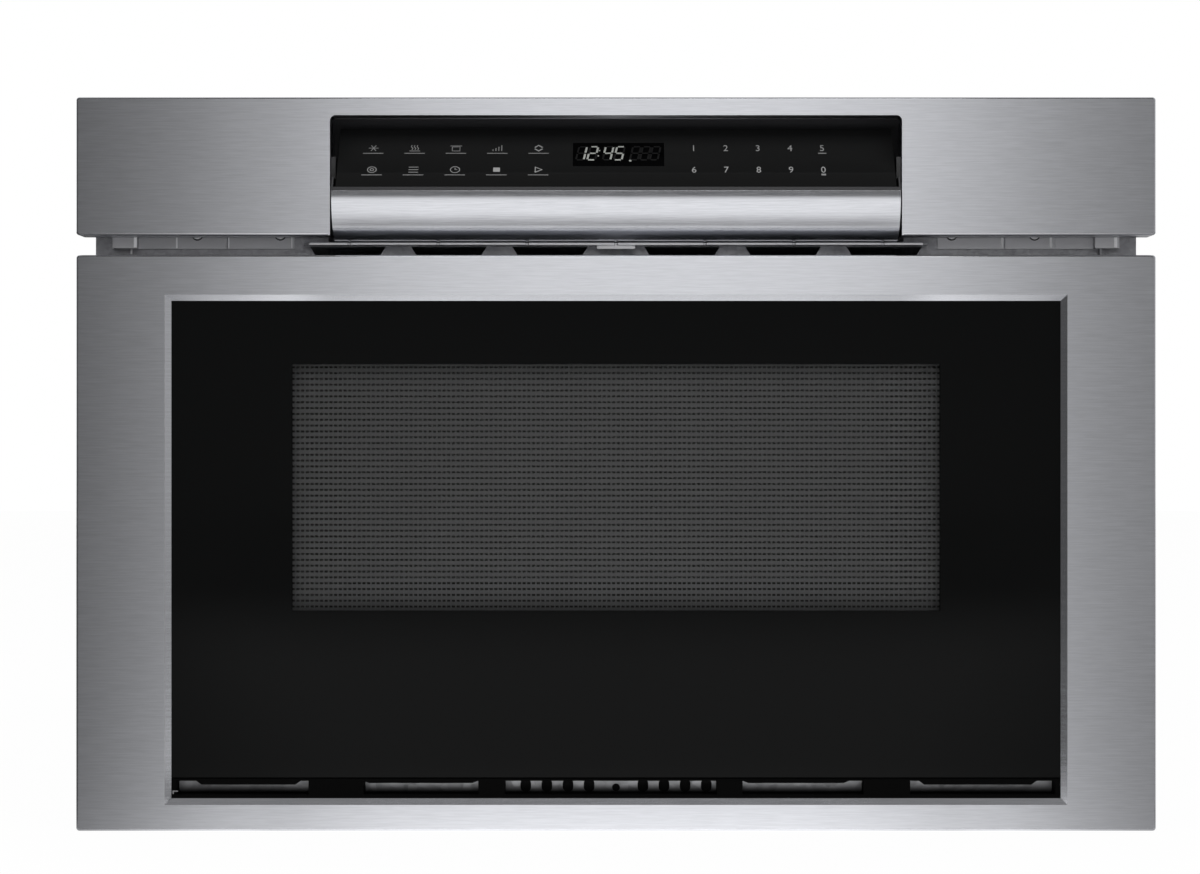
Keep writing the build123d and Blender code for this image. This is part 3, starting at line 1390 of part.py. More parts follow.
with BuildPart() as hv_capacitor:
    with BuildSketch(Plane.XY.offset(base_sheet)):
        with Locations((capacitor_x, transformer_y)):
            SlotOverall(capacitor_size[0], capacitor_size[1])
    extrude(amount=capacitor_size[2])
    with BuildSketch(Plane.XY.offset(base_sheet + capacitor_size[2])):
        with Locations((capacitor_x, transformer_y)):
            with GridLocations(terminal_spacing, 1, 2, 1):
                Rectangle(terminal[0], terminal[1])
    extrude(amount=terminal[2])
    with BuildSketch(Plane.XY.offset(base_sheet + clamp_rise)):
        with Locations((capacitor_x, transformer_y)):
            SlotOverall(capacitor_size[0] + 2 * clamp_wall, capacitor_size[1] + 2 * clamp_wall)
    extrude(amount=clamp_height)
hv_capacitor.part.label = "hv_capacitor"
export_step(hv_capacitor.part, "parts/hv_capacitor.step")

filter_floor = base_sheet + filter_post_height
with BuildPart() as noise_filter:
    with BuildSketch(Plane.XY.offset(filter_floor)):
        with Locations((filter_x, transformer_y)):
            Rectangle(*filter_board)
    extrude(amount=board_sheet)
    with BuildSketch(Plane.XY.offset(base_sheet)):
        with Locations((filter_x, transformer_y)):
            with GridLocations(*filter_post_spacing, 2, 2):
                Circle(filter_post_radius)
    extrude(amount=filter_post_height)
    for x, radius, rise in filter_parts:
        with BuildSketch(Plane.XY.offset(filter_floor + board_sheet)):
            with Locations((filter_x + x, transformer_y)):
                Circle(radius)
        extrude(amount=rise)
noise_filter.part.label = "noise_filter"
export_step(noise_filter.part, "parts/noise_filter.step")

with BuildPart() as cord_bushing:
    gland_end = rear_inner - gland_inside
    for radius, start, end in ((gland_radius + gland_flange, rear_y, rear_y + gland_flange_sheet),
                               (gland_radius, rear_inner - gland_flange_sheet, rear_y),
                               (gland_radius - gland_nut, gland_end, rear_inner)):
        with BuildSketch(facing(start)):
            with Locations((gland_x, gland_z)):
                Circle(radius)
        extrude(amount=start - end)
    with BuildSketch(facing(gland_end)):
        with Locations((gland_x, gland_z)):
            Circle(gland_bore)
    extrude(amount=gland_end - rear_y - gland_flange_sheet, mode=Mode.SUBTRACT)
cord_bushing.part.label = "cord_bushing"
export_step(cord_bushing.part, "parts/cord_bushing.step")

with BuildPart() as oven_lamp:
    with BuildSketch(upright(cavity_half)):
        with Locations((lamp_y, lamp_z)):
            RectangleRounded(lamp_size[0], lamp_size[1], lamp_corner)
    extrude(amount=lamp_size[2])
    chamfer(oven_lamp.faces().sort_by(Axis.X)[-1].edges(), can_round)
    with BuildSketch(upright(cavity_half + lamp_size[2])):
        with Locations((lamp_y, lamp_z)):
            Circle(lamp_socket_radius)
    extrude(amount=lamp_socket_length)
oven_lamp.part.label = "oven_lamp"
export_step(oven_lamp.part, "parts/oven_lamp.step")

# ================================================================ door latches and their switches
latch_tip = door_back + latch_length
with BuildPart() as latch_hooks:
    for side in (-1, 1):
        low, high = sorted((side * (latch_x - latch_sheet), side * latch_x))
        with BuildSketch(upright(low)):
            with BuildLine() as hook:
                Polyline((door_back, latch_z - latch_half), (latch_tip - latch_nose, latch_z - latch_half),
                         (latch_tip, latch_z), (latch_tip - latch_nose, latch_z + latch_nose),
                         (latch_tip - latch_nose, latch_z + latch_neck),
                         (door_back, latch_z + latch_neck), close=True)
            make_face(hook.edges())
        extrude(amount=latch_sheet)
        # foot screwed to the back of the door, outboard of the choke
        foot_in, foot_out = sorted((side * (latch_x - latch_sheet), side * (latch_x + latch_foot_width)))
        block(foot_in, foot_out, door_back, door_back + latch_sheet, latch_z - latch_foot_half,
              latch_z + latch_foot_half)
latch_hooks.part.label = "latch_hooks"
export_step(latch_hooks.part, "parts/latch_hooks.step")

switch_in = latch_x + seat_gap
switch_out = switch_in + switch_width
with BuildPart() as interlock_switches:
    for side in (-1, 1):
        low, high = sorted((side * switch_in, side * switch_out))
        with BuildSketch(upright(low)):
            with Locations((flange_back + switch_back, latch_z)):
                RectangleRounded(*switch_size, switch_corner)
        extrude(amount=switch_width)
interlock_switches.part.label = "interlock_switches"
export_step(interlock_switches.part, "parts/interlock_switches.step")

with BuildPart() as interlock_brackets:
    for side in (-1, 1):
        for reach, depth in ((bracket_sheet, switch_bracket_length), (switch_bracket_foot, bracket_sheet)):
            low, high = sorted((side * switch_out, side * (switch_out + reach)))
            block(low, high, flange_back, flange_back + depth, latch_z - latch_foot_half,
                  latch_z + latch_foot_half)
interlock_brackets.part.label = "interlock_brackets"
export_step(interlock_brackets.part, "parts/interlock_brackets.step")

# ================================================================ screws of the door and the case
door_screw_row = front_width / 2 - door_screw_inset
door_rows = spread(door_low + door_screw_margin, door_high - door_screw_margin, door_screw_rows)
door_screw_places = [(side * x, z) for side in (-1, 1)
                     for x, z in (*((door_screw_row, z) for z in door_rows),
                                  (door_screw_x, (choke_high + door_high) / 2),
                                  (door_screw_x, (arm_low + choke_low) / 2))]
door_screws = screw_heads(door_back, 1, door_screw_places, screw_radius, screw_height)
door_screws.part.label = "door_screws"
export_step(door_screws.part, "parts/door_screws.step")

case_rows = spread(case_screw_margin, case_height - case_screw_margin, case_screw_rows)
case_screw_places = [(side * x, z) for side in (-1, 1)
                     for x, z in (*((case_half - case_screw_inset, z) for z in case_rows),
                                  (case_screw_x, case_height - case_screw_inset))]
case_screws = screw_heads(rear_y, 1, case_screw_places, screw_radius, screw_height)
case_screws.part.label = "case_screws"
export_step(case_screws.part, "parts/case_screws.step")
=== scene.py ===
# %% [markdown]
# # A built-in microwave drawer
# The object is a steel box that stands in a kitchen cabinet. A drawer with a black glass door slides
# out of it, under an angled touch panel. The construction comes from CAD and is loaded as it is. This
# script gives every surface its finish and adds what is too fine for the construction: the mesh behind
# the glass, the printed marks, the clock and the recesses of the screws.

# %% Load the construction
import json

import bmesh
import bpy
import numpy as np
from math import pi
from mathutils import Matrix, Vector

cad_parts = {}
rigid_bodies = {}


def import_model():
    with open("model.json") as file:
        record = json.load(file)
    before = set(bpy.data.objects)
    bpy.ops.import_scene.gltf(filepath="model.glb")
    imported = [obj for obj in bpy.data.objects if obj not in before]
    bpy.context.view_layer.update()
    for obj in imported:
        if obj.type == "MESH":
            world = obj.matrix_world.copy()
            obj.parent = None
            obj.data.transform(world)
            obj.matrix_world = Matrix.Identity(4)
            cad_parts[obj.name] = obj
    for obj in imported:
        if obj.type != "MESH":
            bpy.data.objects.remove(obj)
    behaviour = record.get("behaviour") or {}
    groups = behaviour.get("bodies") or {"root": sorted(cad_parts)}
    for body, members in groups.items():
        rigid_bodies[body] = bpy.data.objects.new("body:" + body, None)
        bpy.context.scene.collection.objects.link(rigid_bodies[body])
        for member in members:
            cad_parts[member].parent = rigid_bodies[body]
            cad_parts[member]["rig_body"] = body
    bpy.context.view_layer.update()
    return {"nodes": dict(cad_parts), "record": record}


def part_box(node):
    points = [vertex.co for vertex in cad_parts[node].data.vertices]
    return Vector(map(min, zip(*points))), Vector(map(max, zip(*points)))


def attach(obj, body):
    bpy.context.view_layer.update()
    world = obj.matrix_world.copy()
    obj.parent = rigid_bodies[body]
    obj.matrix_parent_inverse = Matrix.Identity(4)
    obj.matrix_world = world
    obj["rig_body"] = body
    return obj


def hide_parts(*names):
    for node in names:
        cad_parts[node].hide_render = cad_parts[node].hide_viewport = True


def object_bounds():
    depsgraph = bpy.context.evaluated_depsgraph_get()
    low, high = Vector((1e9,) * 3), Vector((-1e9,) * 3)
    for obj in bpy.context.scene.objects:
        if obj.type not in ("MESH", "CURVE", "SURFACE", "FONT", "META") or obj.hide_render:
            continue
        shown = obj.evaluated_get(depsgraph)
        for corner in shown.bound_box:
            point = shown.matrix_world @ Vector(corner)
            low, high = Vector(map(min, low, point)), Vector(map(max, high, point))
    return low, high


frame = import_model()
MM = 0.001

# %% [markdown]
# ## Camera
# A product photograph of a front is taken from far away with a long lens, so that the sides don't show.
# Three facts fix such a camera: how many millimetres one pixel covers on the front, which pixel lies
# straight ahead, and the distance. The last one shows in the gap over the door, where things behind
# the front look smaller. The camera stays square to the front, and a small sideways shift of the lens
# does the framing, because turning the camera would make the steel frame look tapered.

# %% Place the camera
PHOTO_WIDTH = 1200  # px
PIXEL = 0.7026 * MM  # on the plane of the front
AHEAD_PX = (616, 437)  # the pixel straight ahead of the lens
FRONT_TOP_PX = 97
DISTANCE = 2.150
SENSOR = 36.0

front_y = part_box("door_frame")[0].y
front_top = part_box("fascia")[1].z
camera_data = bpy.data.cameras.new("camera")
camera_data.sensor_width = SENSOR
camera_data.lens = SENSOR * DISTANCE / (PHOTO_WIDTH * PIXEL)
camera_data.shift_x = (PHOTO_WIDTH / 2 - AHEAD_PX[0]) / PHOTO_WIDTH
camera = bpy.data.objects.new("camera", camera_data)
bpy.context.scene.collection.objects.link(camera)
camera.location = (0, front_y - DISTANCE, front_top - (AHEAD_PX[1] - FRONT_TOP_PX) * PIXEL)
camera.rotation_euler = (pi / 2, 0, 0)
bpy.context.scene.camera = camera
bpy.context.scene.view_settings.view_transform = "Standard"
print("camera:", round(camera_data.lens, 1), "mm lens at", [round(v, 3) for v in camera.location])

# %% [markdown]
# ## Shader maths in Python
# A finish is a small sum: streaks plus blotches, times a strength. As Math nodes that is slow to write
# and hard to read, so an output socket is wrapped in a class whose signs add the nodes. Any other node
# comes from one method that takes its type, the values or links of its sockets and its settings.

# %% Wrap sockets so that sums write nodes
class Wire:
    """An output socket. The signs and the named methods each add one Math or Map Range node."""

    def __init__(self, bench, socket):
        self.bench, self.socket = bench, socket

    def maths(self, operation, *others):
        """A Math node over this wire and the others."""
        return self.bench.node("Math", dict(enumerate((self, *others))), operation=operation)

    def __add__(self, other):
        return self.maths("ADD", other)

    def __sub__(self, other):
        return self.maths("SUBTRACT", other)

    def __rsub__(self, other):
        return self.maths("MULTIPLY", -1.0) + other

    def __mul__(self, other):
        return self.maths("MULTIPLY", other)

    def __truediv__(self, other):
        return self.maths("DIVIDE", other)

    def __abs__(self):
        return self.maths("ABSOLUTE")

    __radd__, __rmul__ = __add__, __mul__

    def over(self, limit):
        """1 where the value is over the limit, else 0."""
        return self.maths("GREATER_THAN", limit)

    def rise(self, low, high):
        """A smooth step from 0 at low to 1 at high."""
        return self.bench.node("MapRange", {"Value": self, "From Min": low, "From Max": high},
                               interpolation_type="SMOOTHSTEP")


class Bench:
    """The workbench for one node tree."""

    def __init__(self, tree):
        self.tree = tree
        tree.nodes.clear()

    def node(self, kind, sockets=None, output=0, **settings):
        """Adds a node with its settings, puts values or wires into its sockets, returns one output."""
        made = self.tree.nodes.new("ShaderNode" + kind)
        for name, value in settings.items():
            setattr(made, name, value)
        for name, value in (sockets or {}).items():
            if isinstance(value, Wire):
                self.tree.links.new(value.socket, made.inputs[name])
            else:
                colour = made.inputs[name].type == "RGBA" and len(value) == 3
                made.inputs[name].default_value = (*value, 1) if colour else value
        return Wire(self, made.outputs[output] if made.outputs else None)

    def split(self, vector):
        """The three parts of a vector or colour."""
        made = self.node("SeparateXYZ", {0: vector})
        return [Wire(self, socket) for socket in made.socket.node.outputs]

    def output(self, wire, name):
        """Another output of the node that a wire comes from."""
        return Wire(self, wire.socket.node.outputs[name])

    def join(self, x, y, z):
        return self.node("CombineXYZ", {0: x, 1: y, 2: z})

    def blend(self, factor, first, second):
        """One colour where the factor is 0 and the other where it is 1."""
        return self.node("Mix", {0: factor, 6: first, 7: second}, 2, data_type="RGBA")


class Finish(Bench):
    """The workbench for one material. Its sums use object coordinates, in metres."""

    def __init__(self, name):
        self.material = bpy.data.materials.new(name)
        self.material.use_nodes = True
        super().__init__(self.material.node_tree)
        self.place = self.node("TexCoord", {}, "Object")

    def noise(self, scale, detail=2.0, at=None):
        return self.node("TexNoise", {"Vector": at or self.place, "Scale": scale, "Detail": detail})

    def cells(self, scale, output="Distance", at=None):
        return self.node("TexVoronoi", {"Vector": at or self.place, "Scale": scale}, output)

    def bump(self, height, strength, depth):
        return self.node("Bump", {"Height": height, "Strength": strength, "Distance": depth})

    def coat(self, **sockets):
        """Ends the material with one Principled surface; a_b in a name stands for the socket A B."""
        named = {name.replace("_", " ").title().replace("Ior", "IOR"): value
                 for name, value in sockets.items()}
        surface = self.node("BsdfPrincipled", named)
        self.node("OutputMaterial", {"Surface": surface})
        return self.material


def dimmed(colour, share):
    """The same colour with a share of its light."""
    return [share * part for part in colour]


print("shader maths ready:", ", ".join(part.__name__ for part in (Wire, Bench, Finish)))

# %% [markdown]
# ## Studio
# Steel has no look of its own: it shows the room. Brushed steel stretches what it reflects across the
# direction of the brushing, so a tall, narrow softbox high over the camera turns into the bright band
# down the middle of the front, while the polished black glass, which stretches nothing, doesn't see the
# softbox at all. Two wide softboxes at the sides light what is matt. The world is a dim room with a
# bright right wall, a glow straight ahead of the front and a white backdrop behind the object, and the
# camera sees white everywhere.

# %% Light the studio
STRIP_WIDTH, STRIP_HEIGHT, STRIP_DISTANCE = 1.22, 2.3, 3.6
STRIP_CENTRE = (0.090, 1.95)  # sideways, and above the floor
STRIP_POWER = 20.5
SOFTBOX = (3.0, 2.0)
SOFTBOX_PLACE = (2.5, -2.3, 2.4)
SOFTBOX_POWER = 62.0
AIM = Vector((0, 0, 0.25))


def softbox(name, place, width, height, power):
    """A flat lamp at a place, turned to face the object, and not seen by the camera itself."""
    data = bpy.data.lights.new(name, "AREA")
    data.shape, data.size, data.size_y, data.energy = "RECTANGLE", width, height, power
    lamp = bpy.data.objects.new(name, data)
    bpy.context.scene.collection.objects.link(lamp)
    lamp.location = place
    lamp.rotation_euler = (AIM - Vector(place)).to_track_quat("-Z", "Y").to_euler()
    lamp.visible_camera = False
    return lamp


softbox("strip", (STRIP_CENTRE[0], front_y - STRIP_DISTANCE, STRIP_CENTRE[1]), STRIP_WIDTH,
        STRIP_HEIGHT, STRIP_POWER)
for side_name, side in (("left", -1), ("right", 1)):
    lamp = softbox("side_" + side_name, (side * SOFTBOX_PLACE[0], *SOFTBOX_PLACE[1:]), *SOFTBOX,
                   SOFTBOX_POWER)
    lamp.visible_glossy = False

ROOM_DIM, ROOM_LEFT, WALL_RIGHT, CEILING, AHEAD, BACKDROP = 0.07, 0.04, 0.42, 0.22, 0.25, 0.95
LEFT_EDGE, RIGHT_EDGE = (0.5, 0.95), (0.10, 0.75)  # shares of a direction over which a wall comes in
CEILING_EDGE, BACKDROP_EDGE = (0.6, 0.95), (0.0, 0.35)
AHEAD_ACROSS, AHEAD_UP = (0.05, 0.20), (0.0, 0.07)  # and over which the glow ahead fades out
world = bpy.data.worlds.new("studio")
bpy.context.scene.world = world
world.use_nodes = True
room = Bench(world.node_tree)
east, north, up = room.split(room.node("TexCoord", {}, "Generated"))
behind = north.rise(*BACKDROP_EDGE)
ahead = (1 - abs(east).rise(*AHEAD_ACROSS)) * (1 - abs(up).rise(*AHEAD_UP))
walls = (ROOM_DIM + WALL_RIGHT * east.rise(*RIGHT_EDGE) + ROOM_LEFT * (-1 * east).rise(*LEFT_EDGE)
         + CEILING * up.rise(*CEILING_EDGE) + AHEAD * ahead)
strength = walls * (1 - behind) + BACKDROP * behind
rays = room.node("LightPath", {}, "Is Camera Ray")
seen = rays.maths("MAXIMUM", room.output(rays, "Is Transmission Ray"))
background = room.node("Background", {"Color": (1, 1, 1), "Strength": strength * (1 - seen) + seen})
room.node("OutputWorld", {"Surface": background})
print("studio: one strip of", STRIP_POWER, "W and two softboxes of", SOFTBOX_POWER, "W")

# %% [markdown]
# ## Floor
# The backdrop of such a photograph is pure white. Lighting a floor until it is white would burn out the
# steel, so the camera is shown a floor that is mostly white by itself and keeps a share of the true
# light, in which the shadow stays. The steel lip and the bevels look down at the floor: for them it is
# a pool of light in front of the object that gets wider further out. The upright bevels look along the
# door at a flat angle, and there the floor is as dark or as bright as the wall behind it. A low step
# carries the base, as the cabinet shelf does, because the door hangs a little lower than the base.

# %% Lay the floor
FLOOR_REACH, FLOOR_THICK = 9.0, 0.01
FLOOR_GAP = 0.3 * MM  # between the object and what it stands on
STEP_INSET = 4.0 * MM  # the cabinet shelf starts this far behind the front of the base plate
FLOOR_COLOUR = (0.86, 0.86, 0.87)
WHITE_SHARE = 0.975  # how much of the camera's floor is white by itself
POOL_NEAR, POOL_MIDDLE, POOL_FAR = 0.45, 1.20, 0.10  # light under the front, before it, and far off
POOL_RIGHT, RIGHT_FROM = 0.36, (0.1, 0.6)  # and far off on the side of the bright wall
FOOT, FOOT_FADE = 0.95, (0.012, 0.040)  # more light at the very foot of the door, and where it fades
HEM, HEM_SIDE, HEM_FADE = 0.80, (0.23, 0.28), (0.20, 0.50)  # and beside the head, for the fascia's hem
GRAZING = 3.5  # how much brighter the floor under the front is at a flat angle than from above
POOL_BRIGHT, POOL_DARK = (0.02, 0.50), (1.4, 3.6)  # distances over which it rises and falls
POOL_HALF, POOL_SPREAD, POOL_SOFT = 0.29, 0.17, 0.18  # half its width, how it widens, its soft edge
SIDE_DIM, SIDE_LIT, SIDE_TURN = 0.07, 0.45, 0.14  # light along the door, to the left and to the right
SIDE_LENGTH, SIDE_DEPTH = (0.12, 0.17), (0.10, 0.16)  # a reflection looks along the door when it is
SIDE_FLAT = (0.78, 0.86)  # so long, meets the floor so near the door, and so flat
SAME_POINT = 1e-7  # metres within which two points are one
plate_low, plate_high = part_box("base_plate")
floor_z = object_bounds()[0].z - FLOOR_GAP


def boxes(low, high):
    """Corners and faces of k boxes. Corner i of a box takes its high value along X, Y or Z where bit
    0, 1 or 2 of i is set, and the six faces are the same six rows of corner numbers, moved on by 8."""
    low, high = np.atleast_2d(low), np.atleast_2d(high)
    bits = (np.arange(8)[:, None] >> np.arange(3)) & 1
    corners = np.where(bits, high[:, None], low[:, None])
    sides = np.array([[0, 4, 6, 2], [1, 3, 7, 5], [0, 1, 5, 4], [2, 6, 7, 3], [0, 2, 3, 1],
                      [4, 5, 7, 6]])
    faces = sides + 8 * np.arange(len(low))[:, None, None]
    return corners.reshape(-1, 3), faces.reshape(-1, 4)


def mesh_object(name, points, faces, material, smooth=False):
    """Puts arrays of points and faces into a new object at the origin."""
    mesh = bpy.data.meshes.new(name)
    mesh.from_pydata(np.reshape(points, (-1, 3)).tolist(), [], [list(face) for face in faces])
    mesh.materials.append(material)
    mesh.polygons.foreach_set("use_smooth", np.full(len(mesh.polygons), smooth))
    made = bpy.data.objects.new(name, mesh)
    bpy.context.scene.collection.objects.link(made)
    return made


def tidy(piece):
    """Merges the points of seams and poles and turns all faces outwards."""
    work = bmesh.new()
    work.from_mesh(piece.data)
    bmesh.ops.remove_doubles(work, verts=work.verts, dist=SAME_POINT)
    bmesh.ops.dissolve_degenerate(work, edges=work.edges, dist=SAME_POINT)
    bmesh.ops.recalc_face_normals(work, faces=work.faces)
    work.to_mesh(piece.data)
    work.free()


def floor_finish():
    """Matt grey-white in true light, mixed with white for the camera and the pool for reflections."""
    bench = Finish("floor")
    x, y, _ = bench.split(bench.place)
    away = (front_y - y).maths("MAXIMUM", 0.0)
    flat = bench.node("LayerWeight", {"Blend": 0.5}, "Facing")
    foot = (FOOT * (1 - away.rise(*FOOT_FADE))
            + HEM * abs(x).rise(*HEM_SIDE) * (1 - away.rise(*HEM_FADE)))
    near = POOL_NEAR * (1 + GRAZING * flat) + foot * (1 - flat)
    light = (near + (POOL_MIDDLE - near) * away.rise(*POOL_BRIGHT)
             - (POOL_MIDDLE - POOL_FAR) * away.rise(*POOL_DARK))
    far = POOL_FAR + (POOL_RIGHT - POOL_FAR) * x.rise(*RIGHT_FROM)
    aside = abs(x) - (POOL_HALF + POOL_SPREAD * away)
    pool = far + (light - far) * (1 - aside.rise(-POOL_SOFT, POOL_SOFT))
    rays = bench.node("LightPath", {}, "Is Camera Ray")
    sideways = (bench.output(rays, "Ray Length").rise(*SIDE_LENGTH) * flat.rise(*SIDE_FLAT)
                * (1 - away.rise(*SIDE_DEPTH)))
    beside = SIDE_DIM + (SIDE_LIT - SIDE_DIM) * x.rise(-SIDE_TURN, SIDE_TURN)
    pool = pool + (beside - pool) * sideways
    glossy = bench.output(rays, "Is Glossy Ray")
    grain = bench.noise(60.0, 3.0)
    colour = bench.blend(grain, dimmed(FLOOR_COLOUR, 0.97), FLOOR_COLOUR)
    matt = bench.node("BsdfDiffuse", {"Color": colour})
    lit = bench.node("Emission", {"Color": (1, 1, 1), "Strength": glossy * pool + rays * (1 - glossy)})
    share = (rays * WHITE_SHARE).maths("MAXIMUM", glossy)
    mixed = bench.node("MixShader", {0: share, 1: matt, 2: lit})
    bench.node("OutputMaterial", {"Surface": mixed})
    bench.material.cycles.emission_sampling = "NONE"
    return bench.material


floor_white = floor_finish()
floor = mesh_object("floor", *boxes((-FLOOR_REACH, -FLOOR_REACH, floor_z - FLOOR_THICK),
                                    (FLOOR_REACH, FLOOR_REACH, floor_z)), floor_white)
step_top = plate_low.z - FLOOR_GAP
step = mesh_object("shelf_step", *boxes((plate_low.x, plate_low.y + STEP_INSET, floor_z),
                                        (plate_high.x, plate_high.y, step_top)), floor_white)
print("floor at", round(floor_z / MM, 2), "mm, step", round((step_top - floor_z) / MM, 1), "mm high")

# %% [markdown]
# ## Brushed steel
# The front panels and the lip are stainless steel, brushed along the width. The brushing shows twice:
# as fine streaks of slightly different grey, and as a reflection that is stretched from top to bottom.
# The streaks are noise that is squeezed over twenty times across the brushing. The stretch is the
# surface's anisotropy, turned a quarter so that it lies across the streaks. On the folded sides the
# streaks must follow the sheet, so the sums pick their two directions by the way a face looks.

# %% Brush the steel
STEEL_DARK, STEEL_LIGHT = (0.552, 0.560, 0.590), (0.640, 0.648, 0.682)
GASKET = (0.030, 0.030, 0.032)
FINE_STREAKS, LONG_STREAKS = (70.0, 1500.0), (28.0, 700.0)  # per metre along and across the brushing
LOOKS_ALONG = 0.7  # a face whose direction has more than this share of an axis looks along it
ROLLED = (0.2, 0.98)  # a rolled edge looks to the front by a share between these


def brushed_steel(name, across=None, roughness=0.36, anisotropy=0.94, smooth=0.27, gasket=None):
    """Streaks run along X, or along depth on a side. across, where given, works out the distance across
    the streaks from depth and height; otherwise it is height, or depth on a flat top. The rolled edges
    are smoother than the flats by smooth. Above the height gasket the sheet is black."""
    bench = Finish(name)
    x, y, z = bench.split(bench.place)
    facing = [abs(part) for part in bench.split(bench.node("NewGeometry", {}, "Normal"))]
    look_x, look_z = facing[0].over(LOOKS_ALONG), facing[2].over(LOOKS_ALONG)
    bevel = facing[1].over(ROLLED[0]) * (1 - facing[1].over(ROLLED[1]))
    along = x * (1 - look_x) + y * look_x
    width = across(y, z) if across else z * (1 - look_z) + y * look_z
    fine, long = [bench.noise(1.0, at=bench.join(along * scale[0], width * scale[1], seed))
                  for scale, seed in ((FINE_STREAKS, 0.0), (LONG_STREAKS, 4.0))]
    streak = fine * 0.5 + long * 0.5
    contrast = streak.rise(0.30, 0.70)
    colour, metallic = bench.blend(contrast, STEEL_DARK, STEEL_LIGHT), 1.0
    if gasket:
        black = z.over(gasket)
        colour, metallic = bench.blend(black, colour, GASKET), 1 - black
    return bench.coat(base_color=colour, metallic=metallic,
                      roughness=roughness + 0.03 * contrast - smooth * bevel, anisotropic=anisotropy,
                      anisotropic_rotation=0.25, normal=bench.bump(streak, 0.15, 0.02 * MM))


lip_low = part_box("control_lip")[0]
LIP_RADIUS = 34.0 * MM
lip_axis = (lip_low.y + LIP_RADIUS, lip_low.z + LIP_RADIUS)


def around_lip(y, z):
    """The distance around the rolled lip: its angle about the roll's axis times the radius."""
    return (y - lip_axis[0]).maths("ARCTAN2", z - lip_axis[1]) * LIP_RADIUS


GASKET_RISE = 0.2 * MM  # the gasket starts this far over the roll's axis
panel_steel = brushed_steel("brushed_panel_steel")
lip_steel = brushed_steel("brushed_lip_steel", around_lip, roughness=0.17, anisotropy=0.0, smooth=0.0,
                          gasket=lip_axis[1] + GASKET_RISE)
print("brushed steel for panels and lip")

# %% [markdown]
# ## Sheet metal and castings
# Behind the front everything is made to a price: zinc-plated sheet with its frost of crystals, rolled
# steel rails, a painted cavity, dull motor cans. Each is one colour from afar, but never evenly so. Zinc
# shows cells of different grey, rolled steel fine lines along the strip, paint a slight orange peel,
# and all of them a thin film of handling that changes the roughness in patches.

# %% Plate, roll and paint
LINES = 900.0  # rolling lines per metre


def zinc_sheet(name, colour, crystal, painted_shade_heights=None):
    """Zinc crystals are the cells of a Voronoi pattern, about crystal metres wide, each with its own
    share of light; a fine noise stands for the rolled surface under them. The last argument, where
    given, is the pair of heights between which painted shade fades out: below them the sheet is
    painted black, for the shade low in the gap behind the door."""
    bench = Finish(name)
    shade, angle, _ = bench.split(bench.cells(1.0 / crystal, "Color"))
    film = bench.noise(14.0, 3.0)
    rolled = bench.noise(LINES)
    zinc = bench.blend(shade, dimmed(colour, 0.90), dimmed(colour, 1.10))
    if painted_shade_heights:
        # painted shade: near-black below the given heights, for the shade low behind the door
        zinc = bench.blend(bench.split(bench.place)[2].rise(*painted_shade_heights), (0.01, 0.01, 0.01), zinc)
    return bench.coat(base_color=zinc, metallic=0.92,
                      roughness=0.38 + 0.14 * angle + 0.10 * film,
                      normal=bench.bump(rolled + shade * 0.6, 0.2, 0.03 * MM))


def rolled_steel(name, colour, roughness, run=25.0):
    """Fine lines along Y, the way the strip ran through the rolls: noise that is run times longer than
    wide. A run of 1 has no direction, for what is cast, drawn or turned."""
    bench = Finish(name)
    x, y, z = bench.split(bench.place)
    lines = bench.noise(1.0, at=bench.join(x * LINES, y * LINES / run, z * LINES))
    film = bench.noise(22.0, 3.0)
    shade = bench.blend(lines * 0.6 + film * 0.4, dimmed(colour, 0.88), colour)
    return bench.coat(base_color=shade, metallic=1.0, roughness=roughness + 0.12 * film,
                      normal=bench.bump(lines, 0.25, 0.02 * MM))


def paint(name, colour, roughness, metallic=0.0, peel=0.3):
    """Orange peel is a soft noise of about 2 mm in the bump; dust and handling dull it in patches."""
    bench = Finish(name)
    peel_noise = bench.noise(520.0, 1.0)
    film = bench.noise(11.0, 4.0)
    return bench.coat(base_color=bench.blend(film, dimmed(colour, 0.93), colour),
                      metallic=metallic, roughness=roughness + 0.10 * film,
                      coat_weight=0.25, coat_roughness=0.25,
                      normal=bench.bump(peel_noise, peel, 0.05 * MM))


def moulded(name, colour, roughness, grain=1400.0, ior=1.2):
    """Spark-eroded mould grain: two sizes of it in the bump, and patches of handling in the gloss."""
    bench = Finish(name)
    fine = bench.noise(grain, 3.0)
    coarse = bench.cells(grain * 0.45)
    film = bench.noise(17.0, 3.0)
    return bench.coat(base_color=bench.blend(film, dimmed(colour, 0.85), colour),
                      roughness=roughness + 0.12 * film, ior=ior,
                      normal=bench.bump(fine * 0.5 + coarse * 0.5, 0.35, 0.04 * MM))


finishes = {
    "front_steel": panel_steel,
    "plated_steel": zinc_sheet("zinc_plated_sheet", (0.52, 0.525, 0.54), 5.0 * MM),
    "slide_steel": rolled_steel("bright_rolled_steel", (0.66, 0.67, 0.68), 0.24),
    "motor_steel": rolled_steel("motor_can_steel", (0.42, 0.43, 0.44), 0.38, 1.0),
    "blade_aluminium": rolled_steel("bright_aluminium", (0.80, 0.81, 0.82), 0.30, 6.0),
    "cavity_paint": paint("cavity_paint", (0.60, 0.60, 0.59), 0.34),
    "choke_steel": paint("choke_enamel", (0.045, 0.045, 0.047), 0.30),
    "mesh_steel": rolled_steel("mesh_steel", (0.39, 0.39, 0.395), 0.42, 1.0),
    "black_plastic": moulded("black_moulding", (0.022, 0.022, 0.024), 0.42),
    "gear_plastic": moulded("white_acetal", (0.78, 0.78, 0.74), 0.36, 900.0),
}
print("metal, paint and moulding:", len(finishes), "finishes")

